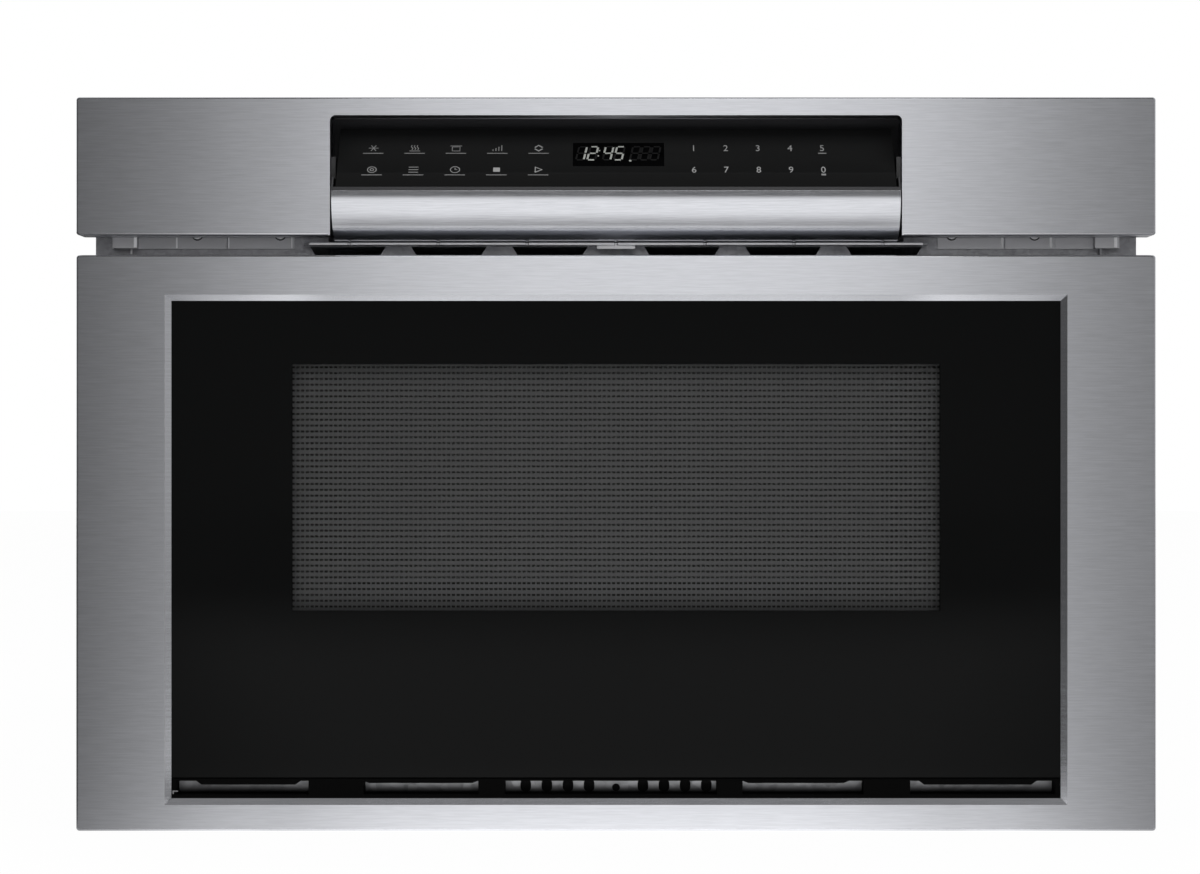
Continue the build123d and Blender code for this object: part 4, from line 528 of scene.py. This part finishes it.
# %% [markdown]
# ## Glass, ceramic, mica and circuit board
# The door glass is clear glass with black enamel fired on its back, except in a window in front of the
# mesh, where it is only tinted. One surface does both: black everywhere, and partly see-through in the
# window. A transparent share passes light straight on, which keeps the mesh behind it free of noise.

# %% Pour the glass
WINDOW_HALF = 228.2 * MM  # clear window in the door's print
WINDOW_LOW, WINDOW_HIGH = 146.4 * MM, 320.2 * MM
WINDOW_EDGE = 0.35 * MM
TINT = 0.30  # share of the tinted window that stays dark
GLOSS_IOR = 1.15  # low for glass, because the photograph shows hardly a reflection on it
SPECK_SHARE = 0.6  # the darkest specks of a print keep this share of its colour
PAINTED_LIFT_SHARES = (0.6, 2.1)  # painted light: darker below, lighter above, against the pocket's shade


def inside(value, low, high):
    """1 between low and high, with the soft edge of the print around it."""
    half = (high - low) / 2
    return 1 - abs(value - (low + high) / 2).rise(half - WINDOW_EDGE, half + WINDOW_EDGE)


def printed_glass(name, colour, window=None, painted_lift=None):
    """Black print with the faint wave of toughened glass. window is a function of the bench that gives
    the clear share, and the last argument the pair of heights over which the print gets lighter:
    painted light that evens out the shade of the pocket on the glass."""
    bench = Finish(name)
    wave = bench.noise(9.0, 1.0)
    smear = bench.noise(38.0, 4.0)
    speck = bench.noise(2600.0, 1.0)
    full = colour
    if painted_lift:
        # painted light: the print goes from darker at the foot to lighter at the top, against the
        # pocket's shade
        height = bench.split(bench.place)[2].rise(*painted_lift)
        full = bench.blend(height, *[dimmed(colour, share) for share in PAINTED_LIFT_SHARES])
    sockets = {"base_color": bench.blend(speck, dimmed(colour, SPECK_SHARE), full),
               "roughness": 0.035 + 0.05 * smear.rise(0.45, 0.85), "ior": GLOSS_IOR,
               "normal": bench.bump(wave, 0.15, 0.05 * MM)}
    if window:
        sockets["alpha"] = 1 - (1 - TINT) * window(bench)
    return bench.coat(**sockets)


def mesh_window(bench):
    """1 in front of the mesh, 0 elsewhere."""
    x, _, z = bench.split(bench.place)
    return inside(x, -WINDOW_HALF, WINDOW_HALF) * inside(z, WINDOW_LOW, WINDOW_HIGH)


def clear_glass():
    """Thin clear glass: mostly transparent, a faint green in its body, glossy, with a little dust."""
    bench = Finish("clear_inner_glass")
    dust = bench.noise(45.0, 4.0)
    return bench.coat(base_color=bench.blend(dust, (0.30, 0.34, 0.32), (0.40, 0.45, 0.43)),
                      roughness=0.03 + 0.06 * dust, alpha=0.14 + 0.08 * dust, ior=1.5)


def glass_ceramic():
    """Off-white, with the faint mottling of the crystals and small darker specks."""
    bench = Finish("glass_ceramic_shelf")
    mottle = bench.noise(70.0, 4.0)
    speck = bench.cells(420.0).rise(0.10, 0.02)
    body = bench.blend(mottle, (0.80, 0.79, 0.75), (0.88, 0.87, 0.84))
    return bench.coat(base_color=bench.blend(speck * 0.35, body, (0.55, 0.53, 0.48)),
                      roughness=0.16 + 0.10 * mottle, coat_weight=0.4, coat_roughness=0.08)


def mica():
    """Pressed flakes: cells squeezed flat, golden and silvery, with a satin gloss that differs."""
    bench = Finish("mica_cover")
    x, y, z = bench.split(bench.place)
    shade, gloss, _ = bench.split(bench.cells(190.0, "Color", bench.join(x, y, z * 6.0)))
    return bench.coat(base_color=bench.blend(shade, (0.50, 0.43, 0.30), (0.74, 0.68, 0.54)),
                      roughness=0.30 + 0.25 * gloss, normal=bench.bump(shade, 0.4, 0.05 * MM))


def circuit_board():
    """Green solder mask with copper tracks under it: bands of a brick pattern, lighter and raised."""
    bench = Finish("circuit_board")
    x, y, z = bench.split(bench.place)
    slanted = bench.join(x + y * 0.5, z + y * 0.7, 0.0)
    brick = bench.node("TexBrick", {"Vector": slanted, "Scale": 120.0, "Mortar Size": 0.05,
                                    "Brick Width": 1.4, "Row Height": 0.35}, "Fac")
    fibre = bench.noise(800.0)
    mask = bench.blend(fibre, (0.012, 0.10, 0.045), (0.02, 0.14, 0.06))
    return bench.coat(base_color=bench.blend(brick, mask, (0.05, 0.26, 0.12)), roughness=0.32,
                      coat_weight=0.5, normal=bench.bump(brick, 0.3, 0.05 * MM))


PRINT_BLACK, TOUCH_BLACK = (0.0052, 0.0054, 0.0054), (0.0100, 0.0102, 0.0102)
finishes.update(
    door_glass=printed_glass("printed_door_glass", PRINT_BLACK, mesh_window),
    # the touch glass gets painted light: its print is lighter towards the top, against the pocket's
    # shade
    control_glass=printed_glass("printed_touch_glass", TOUCH_BLACK,
                                painted_lift=[corner.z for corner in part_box("control_glass")]),
    display_plastic=printed_glass("smoked_lens", (0.006, 0.006, 0.007)),
    clear_glass=clear_glass(),
    ceramic_glass=glass_ceramic(),
    mica=mica(),
    board_green=circuit_board(),
    screw_steel=rolled_steel("zinc_screw_steel", (0.62, 0.62, 0.60), 0.28, 1.0),
    # painted highlight: white paint for the glints on the brackets' cut edges and pins and the fascia's
    # screw heads
    bright_edge=paint("bright_cut_edge", (0.95, 0.95, 0.96), 0.35),
    clip_steel=rolled_steel("clip_steel", (0.30, 0.30, 0.31), 0.40),
    # painted shadow: black for the rings under the fascia's screws
    washer_black=moulded("washer_fibre", (0.012, 0.012, 0.013), 0.60))
print("with glass, ceramic, mica, board and trim:", len(finishes), "finishes")

# %% [markdown]
# ## Dressing
# Each piece of the construction names a material slot in its record, and the slot has its finish. Some
# pieces are of a sheet, a paint or a plastic of their own and have a finish to themselves.

# %% Dress every piece of the construction
slot_of = {part["node"]: part["material_slot"] for part in frame["record"]["subparts"]}
special = {
    "control_lip": lip_steel,
    "outer_case": zinc_sheet("galvanised_case", (0.56, 0.565, 0.575), 11.0 * MM),
    "rear_cover": zinc_sheet("galvanised_rear", (0.55, 0.555, 0.565), 9.0 * MM),
    "hv_transformer": paint("varnished_core", (0.11, 0.085, 0.06), 0.40, 0.3, 0.5),
    "oven_lamp": moulded("lamp_housing", (0.35, 0.34, 0.30), 0.45),
    "door_air_channel": moulded("deep_black_moulding", (0.003, 0.003, 0.003), 0.60, ior=1.06),
    "choke_cover": moulded("dark_cover_moulding", (0.004, 0.004, 0.004), 0.60, ior=1.06),
    "choke_panel": paint("choke_enamel_black", (0.006, 0.006, 0.006), 0.45),
    "vent_lip": rolled_steel("vent_lip_steel", (0.76, 0.76, 0.78), 0.42),
    "head_pocket": moulded("pocket_moulding", (0.040, 0.040, 0.043), 0.50),
    # painted shade: the flange is black below 34 mm, so that the holes of the door's back plate look
    # into shade
    "front_flange": zinc_sheet("flange_zinc", (0.38, 0.38, 0.40), 2.5 * MM, (34.0 * MM, 38.0 * MM)),
    # painted shade: the door's back plate darkens towards its foot, for the shade deep in the slot under
    # the glass
    "door_back_plate": zinc_sheet("door_back_zinc", (0.50, 0.505, 0.52), 5.0 * MM,
                                  (16.2 * MM, 25.2 * MM)),
}
for side in ("left", "right"):
    special["fascia_bracket_" + side] = rolled_steel("bracket_steel_" + side, (0.56, 0.56, 0.58), 0.40)
    special["carriage_arm_" + side] = rolled_steel("arm_steel_" + side, (0.58, 0.59, 0.60), 0.34)
for name, node in frame["nodes"].items():
    node.data.materials.clear()
    node.data.materials.append(special.get(name) or finishes[slot_of[name]])
print("dressed", len(frame["nodes"]), "pieces in", len(finishes) + len(special), "finishes")

# %% [markdown]
# ## Soft edges
# No sheet has a knife edge: a press leaves a small round, and its bright line is what makes a fold
# readable. CAD left most of them sharp, to stay light. A Weld joins the loose triangles of such a piece
# and a narrow Bevel then rounds every edge that is sharper than the facets of a curve.

# %% Round the sharp edges
SHARP = np.radians(50)
EDGES = {"fascia_bracket_left": 0.55, "fascia_bracket_right": 0.55, "vent_lip": 0.45,
         "head_pocket": 0.3, "door_air_channel": 0.45, "rail_bracket_left": 0.5,
         "rail_bracket_right": 0.5, "carriage_arm_left": 0.5, "carriage_arm_right": 0.5,
         "outer_case": 0.4, "rear_cover": 0.4, "drive_rack": 0.2, "base_plate": 0.4}  # mm
WELD_REACH = 0.001 * MM


def soften(node, width):
    """A Weld and a Bevel of the given width, live on the CAD node."""
    piece = frame["nodes"][node]
    piece.modifiers.new("joined", "WELD").merge_threshold = WELD_REACH
    rounded = piece.modifiers.new("soft_edges", "BEVEL")
    rounded.width, rounded.segments, rounded.limit_method = width, 2, "ANGLE"
    rounded.angle_limit = SHARP


for node, width in EDGES.items():
    soften(node, width * MM)
print("soft edges on", len(EDGES), "pieces")

# %% [markdown]
# ## Mesh behind the glass
# The mesh keeps the microwaves in and lets the eye through. It is punched steel with some six thousand
# holes, wider than high. Cutting them out one by one would cost a mesh with many times the faces. The
# same form comes from bars: over a hundred narrow upright ones and some forty broad level ones, each a
# box. The upright bars are a little thinner, so that no two faces lie in one plane where bars cross.

# %% Weave the mesh
PITCH_ACROSS, PITCH_UP = 3.35 * MM, 4.15 * MM
BAR_ACROSS, BAR_UP = 1.15 * MM, 2.7 * MM
UPRIGHT_INSET = np.array([0, 0.06 * MM, 0])
MESH_BORDER = np.array([5.0 * MM, 0, 5.0 * MM])


def bars(low, high, axis, pitch, width):
    """Low and high corners of bars side by side along an axis, as many as fit at the pitch between the
    corners low and high, centred between them."""
    count = int((high[axis] - low[axis]) / pitch)
    middles = (low[axis] + high[axis]) / 2 + (np.arange(count) - (count - 1) / 2) * pitch
    lows, highs = np.tile(low, (count, 1)), np.tile(high, (count, 1))
    lows[:, axis], highs[:, axis] = middles - width / 2, middles + width / 2
    return lows, highs


screen_low, screen_high = (np.array(corner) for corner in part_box("door_screen"))
field_low, field_high = screen_low + MESH_BORDER, screen_high - MESH_BORDER
uprights = bars(field_low + UPRIGHT_INSET, field_high - UPRIGHT_INSET, 0, PITCH_ACROSS, BAR_ACROSS)
levels = bars(field_low, field_high, 2, PITCH_UP, BAR_UP)
rim_low, rim_high = np.tile(screen_low, (4, 1)), np.tile(screen_high, (4, 1))
rim_high[0, 0], rim_low[1, 0] = field_low[0], field_high[0]  # left and right
rim_low[2:, 0], rim_high[2:, 0] = field_low[0], field_high[0]
rim_high[2, 2], rim_low[3, 2] = field_low[2], field_high[2]  # foot and head
bar_ends = [np.vstack(ends) for ends in zip(uprights, levels, (rim_low, rim_high))]
mesh_points, mesh_faces = boxes(*bar_ends)
screen_mesh = mesh_object("screen_mesh", mesh_points, mesh_faces, finishes["mesh_steel"])
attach(screen_mesh, "drawer")
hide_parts("door_screen")
print("mesh:", len(uprights[0]), "by", len(levels[0]), "bars,",
      (len(uprights[0]) + 1) * (len(levels[0]) + 1), "holes")

# %% [markdown]
# ## Screw heads
# A pan head is a disc with a round crown and a cross pressed into it. As a surface it is a height over
# the disc: the crown falls off towards the rim, and the cross is taken away where a point lies near one
# of two lines through the middle. A grid of angle by radius carries that height for all heads at once.

# %% Press the screws
HEAD_ANGLES, HEAD_RINGS = 48, 15
CROSS_WIDTH, CROSS_REACH, CROSS_DEPTH = 0.26, 0.62, 0.62  # shares of the head's radius and height
SAME_PLACE = 6  # decimals of a metre to which two points are one


def turned(radius, height, count):
    """A surface about an axis, as points (angle, ring): radius times cosine and sine, and the height."""
    angle = np.linspace(0, 2 * pi, count, endpoint=False)[:, None]
    return np.stack(np.broadcast_arrays(radius * np.cos(angle), radius * np.sin(angle), height), -1)


def screw_surface(radius, height):
    """Height times the sixth-power crown over a disc, less the cross. The last ring is the middle of
    the flat underside."""
    ring = np.linspace(0, 1, HEAD_RINGS)
    disc = turned(ring, 0.0, HEAD_ANGLES)
    in_cross = (np.abs(disc[..., :2]).min(-1) < CROSS_WIDTH / 2) & (ring < CROSS_REACH)
    disc[..., 2] = np.sqrt(1 - ring ** 6) - CROSS_DEPTH * in_cross
    return np.concatenate([disc * (radius, radius, height), np.zeros((HEAD_ANGLES, 1, 3))], axis=1)


def grid_faces(rows, columns):
    """Faces of a grid that is closed along its rows: point (i, j) joins (i + 1, j + 1)."""
    index = np.arange(rows * columns).reshape(rows, columns)
    after = np.roll(index, -1, axis=0)
    return np.stack([index[:, :-1], index[:, 1:], after[:, 1:], after[:, :-1]], -1).reshape(-1, 4)


def points_of(mesh):
    """The points of a mesh as rows of an array."""
    points = np.empty(len(mesh.vertices) * 3)
    mesh.vertices.foreach_get("co", points)
    return points.reshape(-1, 3)


def solids_of(node):
    """The points of each separate solid of a CAD node. Points in one place get one number. Each number
    then takes the lowest one that an edge joins it to, again and again until none changes."""
    mesh = frame["nodes"][node].data
    points, ends = points_of(mesh), np.empty(len(mesh.edges) * 2, np.int32)
    mesh.edges.foreach_get("vertices", ends)
    numbers = np.unique(points.round(SAME_PLACE), axis=0, return_inverse=True)[1].reshape(-1)
    one, other = numbers[ends.reshape(-1, 2)].T
    lowest, before = np.arange(numbers.max() + 1), None
    while not np.array_equal(lowest, before):
        before = lowest.copy()
        np.minimum.at(lowest, one, before[other])
        np.minimum.at(lowest, other, before[one])
    return [points[lowest[numbers] == solid] for solid in np.unique(lowest)]


def press(name, surfaces, places, outward, finish, smooth=True):
    """One piece from surfaces (x, y, height), each set down at its place with its height outward."""
    points = [place + surface[..., [0, 2, 1]] * (1.0, outward, 1.0)
              for surface, place in zip(surfaces, places)]
    grid = grid_faces(*surfaces[0].shape[:2])
    faces = [grid + (grid.max() + 1) * i for i in range(len(points))]
    piece = mesh_object(name, points, np.vstack(faces), finish, smooth)
    tidy(piece)
    return piece


def press_screws(node, outward, finish):
    """One head for every separate solid of a CAD node of screws, in its place and size. Gives the
    places where they sit."""
    ends = [(solid.min(0), solid.max(0)) for solid in solids_of(node)]
    heads = [screw_surface((high[0] - low[0]) / 2, high[1] - low[1]) for low, high in ends]
    seats = [np.where((0, 1, 0), low if outward > 0 else high, (low + high) / 2) for low, high in ends]
    piece = press(node + "_heads", heads, seats, outward, finish)
    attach(piece, frame["nodes"][node]["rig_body"])
    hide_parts(node)
    return seats


# painted highlight: the fascia's screw heads are white, for the glint on their crowns
fascia_seats = press_screws("fascia_screws", -1, finishes["bright_edge"])
for node in ("door_screws", "case_screws"):
    print(node, len(press_screws(node, 1, finishes["screw_steel"])), "heads")
print("fascia_screws", len(fascia_seats), "heads")

# %% [markdown]
# ## Corners of the head's cut-out
# The cut-out for the touch panel has small round corners at the top, which CAD left square. Each gets
# what lies between a square corner and a quarter circle, as thick as the fascia's sheet.

# %% Round the upper corners of the head's cut-out
HEAD_HALF, HEAD_TOP, HEAD_CORNER = 201.0 * MM, 495.0 * MM, 4.0 * MM
FASCIA_SHEET = 1.2 * MM
CORNER_STEPS = 9


def prism_faces(count, first=0):
    """Both faces of a prism over an outline of count points, and the walls between them. Point i of the
    front is point i + count of the back, and the numbers start at first."""
    front = first + np.arange(count)
    before = np.roll(front, 1)
    walls = np.column_stack([before, front, front + count, before + count])
    return [front[::-1], front + count, *walls]


def corner_fillet(side):
    """The square corner, then points of the circle, once at the sheet's face and once at its back."""
    angle = np.linspace(0, pi / 2, CORNER_STEPS)
    x = np.r_[HEAD_HALF, HEAD_HALF - HEAD_CORNER * (1 - np.cos(angle))]
    z = np.r_[HEAD_TOP, HEAD_TOP - HEAD_CORNER * (1 - np.sin(angle))]
    return np.vstack([np.column_stack([side * x, np.full_like(x, y), z])
                      for y in (front_y, front_y + FASCIA_SHEET)])


outline = CORNER_STEPS + 1
corners = mesh_object("head_corner_fillets", [corner_fillet(side) for side in (-1, 1)],
                      prism_faces(outline) + prism_faces(outline, 2 * outline), panel_steel)
tidy(corners)
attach(corners, "chassis")
print("corner fillets:", len(corners.data.polygons), "faces")

# %% [markdown]
# ## Painted highlights and shadows in the gap
# In the gap over the door a few cut edges and pins of the brackets catch the light: thin white plates
# on them are painted highlights. Under each screw lies a black disc, painted shadow for the dark ring
# around its head. A small clip shows in the slot under the glass. All of them are thin boxes and discs,
# laid on the faces of brackets and channel.

# %% Lay the painted edge highlights, the clip and the painted shadow rings
SKIRT = fascia_seats[0][1] / MM  # mm, the face of the brackets' skirts
STEP, PIN, CLIP = SKIRT - 0.7, SKIRT - 2.0, SKIRT - 9.0  # and faces in front of it
# painted highlights: white strips on the brackets' cut edges and pins
HIGHLIGHT_EDGES_MM = (  # x from and to, z from and to, and the face
    (-341.9, -339.7, 403.2, 410.4, CLIP), (-345.3, -343.9, 398.9, 402.4, PIN),
    (-313.2, -312.0, 403.2, 412.4, STEP), (-276.1, -275.3, 403.2, 412.4, SKIRT),
    (-231.2, -230.4, 403.2, 412.4, SKIRT), (274.2, 275.6, 403.2, 412.4, SKIRT),
    (308.8, 310.4, 403.2, 412.4, SKIRT), (353.2, 355.4, 403.2, 410.4, CLIP))
EDGE_THICK = 0.25 * MM
# painted shadow: black rings under the fascia's screws, for the shade around their heads
SHADOW_RING_RADIUS, SHADOW_RING_THICK, SHADOW_RING_ANGLES = 4.2 * MM, 0.15 * MM, 24
channel_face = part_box("door_air_channel")[0].y / MM
CLIP_MM = ((-312.2, -308.4, 19.1, 19.9, channel_face), (-312.2, -311.3, 17.6, 19.1, channel_face))


def plates(rows):
    """Corners of thin upright plates that lie on the faces given in the rows."""
    left, right, low, high, face = np.array(rows).T * MM
    return boxes(np.column_stack([left, face - EDGE_THICK, low]), np.column_stack([right, face, high]))


# painted highlight: the white strips laid on the brackets
edges = mesh_object("bracket_edges", *plates(HIGHLIGHT_EDGES_MM), finishes["bright_edge"])
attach(edges, "chassis")
clip = mesh_object("channel_clip", *plates(CLIP_MM), finishes["clip_steel"])
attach(clip, "drawer")
# painted shadow: a thin black disc under each fascia screw
rings = np.array([0.0, 1.0, 1.0, 0.0]) * SHADOW_RING_RADIUS, np.array([1.0, 1.0, 0.0, 0.0]) * SHADOW_RING_THICK
shadow_rings = press("fascia_washers", [turned(*rings, SHADOW_RING_ANGLES)] * len(fascia_seats), fascia_seats, -1,
                finishes["washer_black"], smooth=False)
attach(shadow_rings, "chassis")
print("bright edges:", len(HIGHLIGHT_EDGES_MM), "washers:", len(fascia_seats))

# %% [markdown]
# ## Marks on the touch glass
# The marks are printed on the glass and lie in its slanted face. Each is drawn flat, in millimetres
# along the glass, and then carried onto it by one function. Numbers come from Blender's own letters,
# turned into a mesh. The function keys have plain pictograms: a few strokes each, and a stroke is a
# rectangle carried along a line. Lit segments make the clock, with the unlit ones faint beside them.

# %% Find the plane of the touch glass
INK_LIFT, INK_DEPTH = 0.03 * MM, 0.05 * MM
LEAN_BACK, LEAN_UP = 0.699, 0.715  # the glass goes back by the first while it goes up by the second
glass_points = points_of(frame["nodes"]["control_glass"].data)
glass_foot = glass_points[np.argmin(glass_points[:, 1])] * (0.0, 1.0, 1.0)
slope = np.array([0.0, LEAN_BACK, LEAN_UP]) / np.hypot(LEAN_BACK, LEAN_UP)
outwards = np.array([0.0, -slope[2], slope[1]])
glass_axes = np.stack([(1.0, 0.0, 0.0), slope, outwards])


def onto_glass(flat):
    """Carries points (x, distance up the glass, height off it), in mm, onto the slanted face."""
    return glass_foot + np.asarray(flat, float) * MM @ glass_axes


print("touch glass leans", round(np.degrees(np.arctan2(LEAN_BACK, LEAN_UP)).item(), 1), "degrees back")

# %% Mix the inks
def ink(name, colour, light=0.0):
    """Printed ink is matt and a little uneven; a lit segment also shines in its own colour."""
    bench = Finish(name)
    cover = bench.noise(3000.0)
    shade = bench.blend(cover, dimmed(colour, 0.82), colour)
    return bench.coat(base_color=shade, roughness=0.5, emission_color=shade, emission_strength=light)


inks = {"grey": ink("grey_print", (0.26, 0.26, 0.26)), "white": ink("white_print", (0.33, 0.33, 0.33)),
        "lit": ink("lit_segment", (0.31, 0.32, 0.30), 0.19),
        "unlit": ink("unlit_segment", (0.005, 0.005, 0.005)),
        "lens": printed_glass("display_window", (0.0006, 0.0006, 0.0007))}
print("inks:", ", ".join(inks))

# %% Print the numbers
ROW_HIGH, ROW_LOW = 41.3, 18.0  # mm up the glass, middle of each row of keys
NUMBER_FIRST, NUMBER_PITCH = 54.9, 22.7  # mm, middle of the first column and the step
NUMBER_HEIGHT, NUMBER_WIDTH = 6.3, 0.80  # mm tall, and the share of the letter's own width


def number_mesh(text):
    """The outline of a number, centred and one unit tall, with its two sides at the ink's levels."""
    data = bpy.data.curves.new("number", "FONT")
    data.body, data.extrude = text, 0.01
    letter = bpy.data.objects.new("number", data)
    bpy.context.scene.collection.objects.link(letter)
    bpy.context.view_layer.update()
    mesh = bpy.data.meshes.new_from_object(letter)
    points, faces = points_of(mesh), [tuple(face.vertices) for face in mesh.polygons]
    low, high = points.min(0), points.max(0)
    points = (points - (low + high) / 2) / (high[1] - low[1])
    points[:, 2] = (INK_LIFT + INK_DEPTH * (points[:, 2] > 0)) / MM
    bpy.data.curves.remove(data)  # and the letter with it
    bpy.data.meshes.remove(mesh)
    return points, faces


def printed(name, parts, material):
    """Joins flat parts, given as (points, faces) in mm, into one piece on the glass."""
    faces, count = [], 0
    for flat, part_faces in parts:
        faces.extend(np.add(face, count) for face in part_faces)
        count += len(flat)
    piece = mesh_object(name, onto_glass(np.vstack([flat for flat, _ in parts])), faces, material)
    tidy(piece)
    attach(piece, "chassis")


number_parts = []
for place in range(10):
    points, faces = number_mesh(str((place + 1) % 10))
    middle = (NUMBER_FIRST + place % 5 * NUMBER_PITCH, ROW_HIGH if place < 5 else ROW_LOW, 0.0)
    number_parts.append((points * (NUMBER_HEIGHT * NUMBER_WIDTH, NUMBER_HEIGHT, 1.0) + middle, faces))
printed("number_keys", number_parts, inks["white"])
print("numbers:", len(number_parts))

# %% Draw the pictograms
KEY_FIRST, KEY_PITCH = -171.5, 29.2  # mm, middle of the first column of function keys and the step
ICON = 3.4  # mm, half the height of a pictogram
UNDERLINE_DROP, UNDERLINE_HALF = 5.6, 7.2  # mm
STROKE, STROKE_BOLD, STROKE_BLOCK = 0.62, 1.05, 4.4  # mm, the widths of the lines
STEAM_SWING = 0.16
# bars under the last column of numbers: row, drop, half length and width
LAST_MARKS = ((ROW_HIGH, 5.6, 2.9, 0.9), (ROW_LOW, 5.2, 1.6, 1.8))


def stroke(points, width):
    """A rectangle carried along a flat line: each point gives four, half the width to either side of
    the line's direction there, at the bottom and at the top of the ink."""
    line = np.asarray(points, float)
    way = np.gradient(line, axis=0)
    way /= np.linalg.norm(way, axis=1, keepdims=True)
    aside = np.column_stack([-way[:, 1], way[:, 0]]) * width / 2
    low, high = INK_LIFT / MM, (INK_LIFT + INK_DEPTH) / MM
    ring = np.stack([np.column_stack([line + side * aside, np.full(len(line), level)])
                     for side, level in ((1, high), (-1, high), (-1, low), (1, low))], axis=1)
    index = np.arange(4 * len(line)).reshape(-1, 4)
    after = np.roll(index, -1, axis=1)
    sides = np.stack([index[:-1], after[:-1], after[1:], index[1:]], -1).reshape(-1, 4)
    return ring.reshape(-1, 3), np.vstack([sides, index[0], index[-1][::-1]])


def circle(radius, steps=28):
    """Points around a circle: radius times cosine and sine of an evenly growing angle."""
    angle = np.linspace(0, 2 * pi, steps)
    return radius * np.column_stack([np.cos(angle), np.sin(angle)])


def steam(x, low, high):
    """A rising line of steam: its sideways swing is a sine of the height."""
    height = np.linspace(low, high, 12)
    turn = (height - low) / (high - low) * 2 * pi
    return np.column_stack([x + STEAM_SWING * np.sin(turn), height])


ICONS = {  # each pictogram in units of half its height
    "frost": [[-tip, tip] for tip in circle(1.0, 7)[:3]],
    "steam": [[(-1.1, -0.9), (1.1, -0.9)], *[steam(x, -0.5, 0.9) for x in (-0.6, 0.0, 0.6)]],
    "pot": [[(-0.8, 0.4), (-0.8, -0.9), (0.8, -0.9), (0.8, 0.4), (-0.8, 0.4)],
            [(-1.2, 0.7), (1.2, 0.7)]],
    "level": [[(x, -0.9), (x, -0.9 + height)] for x, height in
              ((-0.9, 0.5), (-0.3, 0.9), (0.3, 1.3), (0.9, 1.8))],
    "open": [[(-0.8, 0.2), (0.0, 0.9), (0.8, 0.2)], [(-0.8, -0.2), (0.0, -0.9), (0.8, -0.2)]],
    "ring": [circle(0.9), circle(0.35)],
    "list": [[(-1.0, z), (1.0, z)] for z in (-0.8, 0.0, 0.8)],
    "timer": [circle(0.95), [(0.0, 0.6), (0.0, 0.0), (0.45, 0.0)]],
    "stop": [[(-0.7, 0.0), (0.7, 0.0)]],
    "start": [[(-0.6, -0.8), (-0.6, 0.8), (0.8, 0.0), (-0.6, -0.8), (-0.6, 0.0)]],
}
BOLD = {"open": STROKE_BOLD, "stop": STROKE_BLOCK, "start": STROKE_BOLD}
plain_parts, bold_parts = [], []
for place, (icon, lines) in enumerate(ICONS.items()):
    middle = np.array([KEY_FIRST + place % 5 * KEY_PITCH, ROW_HIGH if place < 5 else ROW_LOW])
    parts = bold_parts if icon in BOLD else plain_parts
    for line in lines:
        parts.append(stroke(np.asarray(line) * ICON + middle, BOLD.get(icon, STROKE)))
    underline = [middle + (side * UNDERLINE_HALF, -UNDERLINE_DROP) for side in (-1, 1)]
    plain_parts.append(stroke(underline, STROKE))
last_column = NUMBER_FIRST + 4 * NUMBER_PITCH
for row, drop, half, width in LAST_MARKS:
    plain_parts.append(stroke([(last_column + side * half, row - drop) for side in (-1, 1)], width))
printed("function_keys", plain_parts, inks["grey"])
printed("bold_keys", bold_parts, inks["white"])
print("pictograms:", len(ICONS))

# %% Light the clock
CLOCK_FOOT = 28.6  # mm up the glass, the foot of the figures
FIGURE = (5.5, 14.2)  # mm, width and height along the glass
COLON_STEP, COLON_BACK = 2.8, 0.9  # mm
GROUPS = (("12:45", True, -28.3, 8.0), ("888", False, 9.8, 7.0))  # lit or not, left end and step, mm
SEGMENT, SEGMENT_CUT, SLANT = 1.35, 0.65, 0.16  # mm wide, cut at each end, and the share of the lean
COLON_HEIGHTS, COLON_HALF, COLON_WIDTH = (0.3, 0.7), 0.5, 1.1  # shares of the height, and mm
POINT_X, POINT_DROP, POINT_RADIUS, POINT_STROKE = 10.0, 0.9, 0.5, 1.0  # mm, the dot at the right
LENS_LEFT, LENS_RIGHT, LENS_FOOT, LENS_HEAD = -30.4, 34.0, 21.8, 47.0  # mm, the display's dark window
LENS_LEVELS = (0.005, 0.02)  # mm off the glass
SEGMENTS = {"a": ((0, 1), (1, 1)), "b": ((1, 1), (1, 0.5)), "c": ((1, 0.5), (1, 0)),
            "d": ((0, 0), (1, 0)), "e": ((0, 0), (0, 0.5)), "f": ((0, 0.5), (0, 1)),
            "g": ((0, 0.5), (1, 0.5))}
LIT = {"1": "bc", "2": "abged", "4": "fgbc", "5": "afgcd", "8": "abcdefg"}


def segment(start, end, left):
    """One bar of a figure: a stroke between two corners, cut short so that bars don't touch, and
    leaning to the right by a share of its height."""
    ends = np.array([start, end]) * FIGURE
    way = (ends[1] - ends[0]) / np.linalg.norm(ends[1] - ends[0])
    ends = ends + way * np.array([[SEGMENT_CUT], [-SEGMENT_CUT]])
    ends[:, 0] += ends[:, 1] * SLANT
    return stroke(ends + (left, CLOCK_FOOT), SEGMENT)


lit, unlit = [], []
for signs, shines, left, figure_step in GROUPS:
    for sign in signs:
        if sign == ":":
            for height in COLON_HEIGHTS:
                up = FIGURE[1] * height
                middle = left - COLON_BACK + up * SLANT
                lit.append(stroke([(middle + side * COLON_HALF, CLOCK_FOOT + up) for side in (-1, 1)],
                                  COLON_WIDTH))
            left += COLON_STEP
        else:
            for name, (start, end) in SEGMENTS.items():
                target = lit if shines and name in LIT[sign] else unlit
                target.append(segment(start, end, left))
            left += figure_step
lit.append(stroke(circle(POINT_RADIUS, 12) + (POINT_X, CLOCK_FOOT - POINT_DROP), POINT_STROKE))
printed("clock_lit", lit, inks["lit"])
printed("clock_unlit", unlit, inks["unlit"])
lens = boxes((LENS_LEFT, LENS_FOOT, LENS_LEVELS[0]), (LENS_RIGHT, LENS_HEAD, LENS_LEVELS[1]))
printed("display_window", [lens], inks["lens"])
print("clock:", len(lit), "lit and", len(unlit), "unlit strokes")
